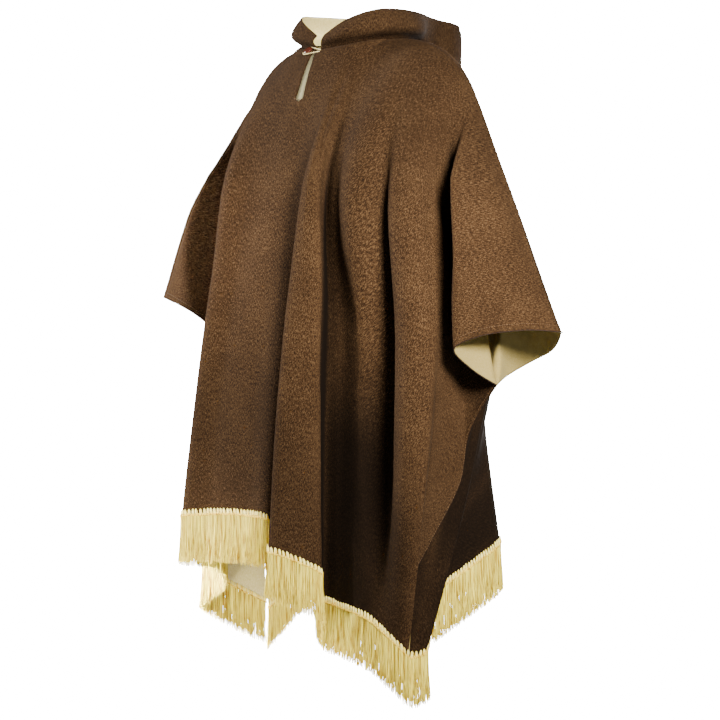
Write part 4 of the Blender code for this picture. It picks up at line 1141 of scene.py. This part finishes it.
def strand_tree(name):
    """A thin yarn hangs from each point of a path, each a little unlike the next."""
    tree, given, even = path_tree(name, [label for label in YARNS if label != "Finish"])
    # Each draw adds its own step to the seed: the yarn's own way, and how deep its root lies.
    draws = []
    for step, kind, first, (low, high), result in (
        (1.0, "FLOAT_VECTOR", 0, OWN_SWAY, 0),
        (2.0, "FLOAT", 2, (-1.0, 1.0), 1),
    ):
        seed = add(tree, "ShaderNodeMath", {0: given["Seed"], 1: step}, 0, operation="ADD")
        ends = {"Seed": seed, first: low, first + 1: high}
        draws.append(add(tree, "FunctionNodeRandomValue", ends, result, data_type=kind))
    out = {"Name": "out"}
    out = add(tree, "GeometryNodeInputNamedAttribute", out, "Attribute", data_type="FLOAT_VECTOR")
    kept = add(tree, "GeometryNodeCaptureAttribute", {"Geometry": even}, domain="POINT")
    items = (("way", "VECTOR", out), ("own", "VECTOR", draws[0]), ("deep", "FLOAT", draws[1]))
    for label, kind, value in items:
        kept.capture_items.new(kind, label)
        tree.links.new(value, kept.inputs[label])
    deep = {0: kept.outputs["deep"], 1: given["Thickness"]}
    deep = add(tree, "ShaderNodeMath", deep, 0, operation="MULTIPLY")
    offset = {0: kept.outputs["way"], "Scale": deep}
    offset = add(tree, "ShaderNodeVectorMath", offset, 0, operation="SCALE")
    roots = {"Geometry": kept.outputs["Geometry"], "Offset": offset}
    roots = add(tree, "GeometryNodeSetPosition", roots, "Geometry")

    one = {"Start": (0, 0, 0), "End": (0, 0, -1)}
    one = add(tree, "GeometryNodeCurvePrimitiveLine", one, "Curve")
    one = {"Curve": one, "Count": YARN_KNOTS}
    one = add(tree, "GeometryNodeResampleCurve", one, "Curve", mode="COUNT")
    shortest = {0: 1.0, 1: given["Length spread"]}
    shortest = add(tree, "ShaderNodeMath", shortest, 0, operation="SUBTRACT")
    pick = {"Seed": given["Seed"], 2: shortest, 3: 1.0}
    pick = add(tree, "FunctionNodeRandomValue", pick, 1, data_type="FLOAT")
    length = add(tree, "ShaderNodeMath", {0: pick, 1: given["Length"]}, 0, operation="MULTIPLY")
    stretch = add(tree, "ShaderNodeCombineXYZ", {"X": 1.0, "Y": 1.0, "Z": length}, 0)
    hung = {"Points": roots, "Instance": one, "Scale": stretch}
    hung = add(tree, "GeometryNodeInstanceOnPoints", hung, "Instances")
    real = add(tree, "GeometryNodeRealizeInstances", {"Geometry": hung}, "Geometry")

    down = add(tree, "GeometryNodeSplineParameter", out="Factor")
    bend = add(tree, "ShaderNodeMath", {0: down, 1: BEND_POWER}, 0, operation="POWER")
    place = add(tree, "GeometryNodeInputPosition", out="Position")
    place = add(tree, "ShaderNodeVectorMath", {0: place, 1: CLUMPS}, 0, operation="MULTIPLY")
    clump = add(tree, "ShaderNodeTexNoise", {"Vector": place, "Scale": 1.0, "Detail": 1.0}, "Color")
    half = {0: clump, 1: (0.5, 0.5, 0.5)}
    clump = add(tree, "ShaderNodeVectorMath", half, 0, operation="SUBTRACT")
    sway = (0, 0, 0)
    for way, label in (
        (clump, "Clump sway"),
        (kept.outputs["own"], "Own sway"),
        (kept.outputs["way"], "Flare"),
    ):
        much = add(tree, "ShaderNodeMath", {0: bend, 1: given[label]}, 0, operation="MULTIPLY")
        moved = add(tree, "ShaderNodeVectorMath", {0: way, "Scale": much}, 0, operation="SCALE")
        sway = add(tree, "ShaderNodeVectorMath", {0: sway, 1: moved}, 0, operation="ADD")
    bent = add(tree, "GeometryNodeSetPosition", {"Geometry": real, "Offset": sway}, "Geometry")
    taper = add(tree, "ShaderNodeMath", {0: down, 1: YARN_TAPER}, 0, operation="MULTIPLY")
    thin = add(tree, "ShaderNodeMath", {0: 1.0, 1: taper}, 0, operation="SUBTRACT")
    thin = add(tree, "ShaderNodeMath", {0: given["Radius"], 1: thin}, 0, operation="MULTIPLY")
    sized = add(tree, "GeometryNodeSetCurveRadius", {"Curve": bent, "Radius": thin}, "Curve")
    ring = {"Resolution": YARN_SIDES, "Radius": 1.0}
    ring = add(tree, "GeometryNodeCurvePrimitiveCircle", ring, "Curve")
    tubes = {"Curve": sized, "Profile Curve": ring, "Fill Caps": True}
    tubes = add(tree, "GeometryNodeCurveToMesh", tubes)
    if "Scale" in tubes.inputs:  # newer versions take the radius here
        tree.links.new(add(tree, "GeometryNodeInputRadius", out="Radius"), tubes.inputs["Scale"])
    soft = add(tree, "GeometryNodeSetShadeSmooth", {"Geometry": tubes.outputs["Mesh"]}, "Geometry")
    finish = {"Geometry": soft, "Material": given["Finish"]}
    done = add(tree, "GeometryNodeSetMaterial", finish, "Geometry")
    add(tree, "NodeGroupOutput", {"Geometry": done})
    return tree


repeat, strands = repeat_tree("repeat along a path"), strand_tree("hanging yarns")
print("trees:", repeat.name, "|", strands.name)

# %% Running a tree


def made_plain(source, tree, values, name):
    """Runs a tree on an object and keeps the result as a plain mesh. The source is removed."""
    modifier = source.modifiers.new("nodes", "NODES")
    modifier.node_group = tree
    for item in tree.interface.items_tree:
        if item.item_type == "SOCKET" and item.in_out == "INPUT" and item.name in values:
            modifier[item.identifier] = values[item.name]
    source.update_tag()
    bpy.context.view_layer.update()
    graph = bpy.context.evaluated_depsgraph_get()
    mesh = bpy.data.meshes.new_from_object(source.evaluated_get(graph), depsgraph=graph)
    mesh.name = name
    bpy.data.objects.remove(source, do_unlink=True)
    made = put(name, mesh)
    worn(made)
    return made


# %% [markdown]
# ## Bound and stitched edges
#
# Each cuff is bound with a dark piping and has a row of stitches 10 mm in. The side seams are
# stitched through, and a bar of stitches holds the foot of the neck slit. Stitches and the beads of
# the piping repeat along a line, so the tree that repeats one shape lays them.

# %% Piping and stitches
STITCH_PITCH = 0.0042
BAR_PITCH = 0.0036
CUFF_HEM = 0.010
SEAM_HEM = 0.004
THREAD_LIFT = 0.0002  # how far a thread's middle lies off the cloth
BAR_LIFT = 0.0004
BAR_DROP = 0.002  # below the foot of the slit
BAR_GAP = 0.0016  # between its two rows
BAR_REACH = 3  # columns on each side of the middle


def stitched(name, points, out, shape, pitch=STITCH_PITCH):
    """Lays a piece again and again along a line of points, each lying along the line."""
    values = {"Shape": shape, "Pitch": pitch, "Size spread": 0.05, "Turn spread": 0.04, "Seed": 5}
    path = path_along(name + "_path", points, unit(np.gradient(points, axis=0)), out)
    made_plain(path, repeat, {**values, "Finish": shape.data.materials[0]}, name)


def sewn_line(grid, out, chosen, inset):
    """A line on the outer face, inset from the border at the chosen columns."""
    edge = grid[-1, chosen]
    return edge + unit(grid[-3, chosen] - edge) * inset + out * (WALL / 2 + THREAD_LIFT)


SIDES = (("left", 1), ("right", -1))
for panel_name, grid, outward in (("front", front_grid, 1), ("back", back_grid, -1)):
    ways = surface_normals(grid, outward)[-1]
    slot = panel_name + "_cloth"
    for side_name, side in SIDES:
        cuff = np.flatnonzero(side * BORDER >= UNDERARM - NEARLY)
        name = f"{panel_name}_{side_name}_cuff"
        stitched(name + "_piping", grid[-1, cuff], ways[cuff], piping)
        line = sewn_line(grid, ways[cuff], cuff, CUFF_HEM)
        stitched(name + "_stitches", line, ways[cuff], stitch)
    for side_name, side in SIDES if outward == 1 else ():
        along = side * BORDER
        seam = (along >= CORNER + SIDE_SLIT - NEARLY) & (along <= UNDERARM + NEARLY)
        line = sewn_line(grid, ways[seam], seam, SEAM_HEM)
        stitched(f"{side_name}_seam_stitches", line, ways[seam], stitch)

# A bar of stitches holds the lower end of the neck slit.
last = int(np.flatnonzero(ROWS <= SLIT_SHARE)[-1])
near = slice(MIDDLE - BAR_REACH, MIDDLE + BAR_REACH + 1)
ways = surface_normals(front_grid, 1)[last, near]
bar = front_grid[last, near] + ways * (WALL / 2 + BAR_LIFT)
for number in range(2):
    line = bar - np.array([0, 0, BAR_DROP + number * BAR_GAP])
    stitched(f"neck_slit_bar_{number + 1}", line, ways, stitch, BAR_PITCH)
print("cuffs piped and stitched")

# %% [markdown]
# ## The fringes
#
# A fringe is sewn on as one band: teeth and cord on the outer face and, since the band is folded
# over the edge, on the inner face too. The yarns hang from between the faces. In a real one there
# are tens of thousands of fine yarns; here each stands for a few.

# %% Both fringes
# Each row: name, shape, pitch, size spread, turn spread, lift off the cloth, drop, seed step.
HEADING = [
    ("teeth", tooth, 0.0068, 0.06, 0.10, 0.0010, 0.0020, 0),
    ("cord", twist, 0.0030, 0.05, 0.05, 0.0016, 0.0030, 1),
]
YARN_LIFT = 0.0006


def fringe(name, grid, outward, seed):
    pieces = []
    for face, side in (("out", 1), ("in", -1)):
        for part, shape, pitch, size, turn, lift, drop, step in HEADING:
            path = hem_path(f"{name}_{part}_path", grid, outward, side, lift, drop)
            values = {"Shape": shape, "Pitch": pitch, "Size spread": size, "Turn spread": turn}
            values.update({"Seed": seed + step, "Finish": shape.data.materials[0]})
            pieces.append(made_plain(path, repeat, values, f"{name}_{part}_{face}"))
    path = hem_path(name + "_yarn_path", grid, outward, 1, YARN_LIFT)
    yarns = made_plain(path, strands, {**YARNS, "Seed": seed + 2}, f"{name}_yarns")
    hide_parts(name)
    print(name, "triangles:", sum(len(p.data.polygons) for p in pieces + [yarns]))


fringe("front_fringe", front_grid, 1, 11)
fringe("back_fringe", back_grid, -1, 23)
for shape in (tooth, twist, stitch, piping):
    bpy.data.objects.remove(shape, do_unlink=True)

# %% [markdown]
# ## The button and its loop
#
# A small glossy horn button sits on the wearer's right of the slit. A doubled satin cord runs from
# the left edge, round the button and back. Both keep the shape of their solids, so the solids stay
# and take the finish.

# %% Horn and satin
HORN_GRAIN = 420.0  # waves to the metre: horn has dark streaks about 2.4 mm apart
# Horn sawn to a disc, turned and polished on a wheel: near black with a red-brown glow, and glossy.
horn, tree, shader = material("polished reddish-brown horn", {"Roughness": 0.18, "IOR": 1.56})
place = add(tree, "ShaderNodeTexCoord", out="Object")
grain = {"Vector": place, "Scale": HORN_GRAIN, "Detail": 3.0}
ramp = add(tree, "ShaderNodeValToRGB", {"Fac": add(tree, "ShaderNodeTexNoise", grain, "Fac")})
for stop, tone in zip(ramp.color_ramp.elements, ("#1c0805", "#5c2514")):
    stop.color = linear(tone)
tree.links.new(ramp.outputs["Color"], shader.inputs["Base Color"])
# Satin cord: rayon braided over a core. Its long smooth floats shine more than the spun yarns.
satin = yarn("cream satin cord", "#b89a58", "#ead9a0", 0.35, 0.1)
for name, finish in (("button", horn), ("button_loop", satin)):
    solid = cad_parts[name]
    solid.data.materials.clear()
    solid.data.materials.append(finish)
print("finishes given to the button and its loop")

# %% [markdown]
# ## What rides on what
#
# The garment is one body: each piece rides on its root, and the solid it stands for is hidden.

# %% Ride and replace
PANEL_FLAT = (2 * HALF_WIDTH, HALF_LENGTH)
HOOD_FLAT = (0.36, 0.13)
for piece, node, flat, slot in (
    (front_cloth, "front_panel", PANEL_FLAT, "front_cloth"),
    (back_cloth, "back_panel", PANEL_FLAT, "back_cloth"),
    (hood_left, "hood_left", HOOD_FLAT, "hood_cloth"),
    (hood_right, "hood_right", HOOD_FLAT, "hood_cloth"),
):
    worn(piece)
    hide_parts(node)
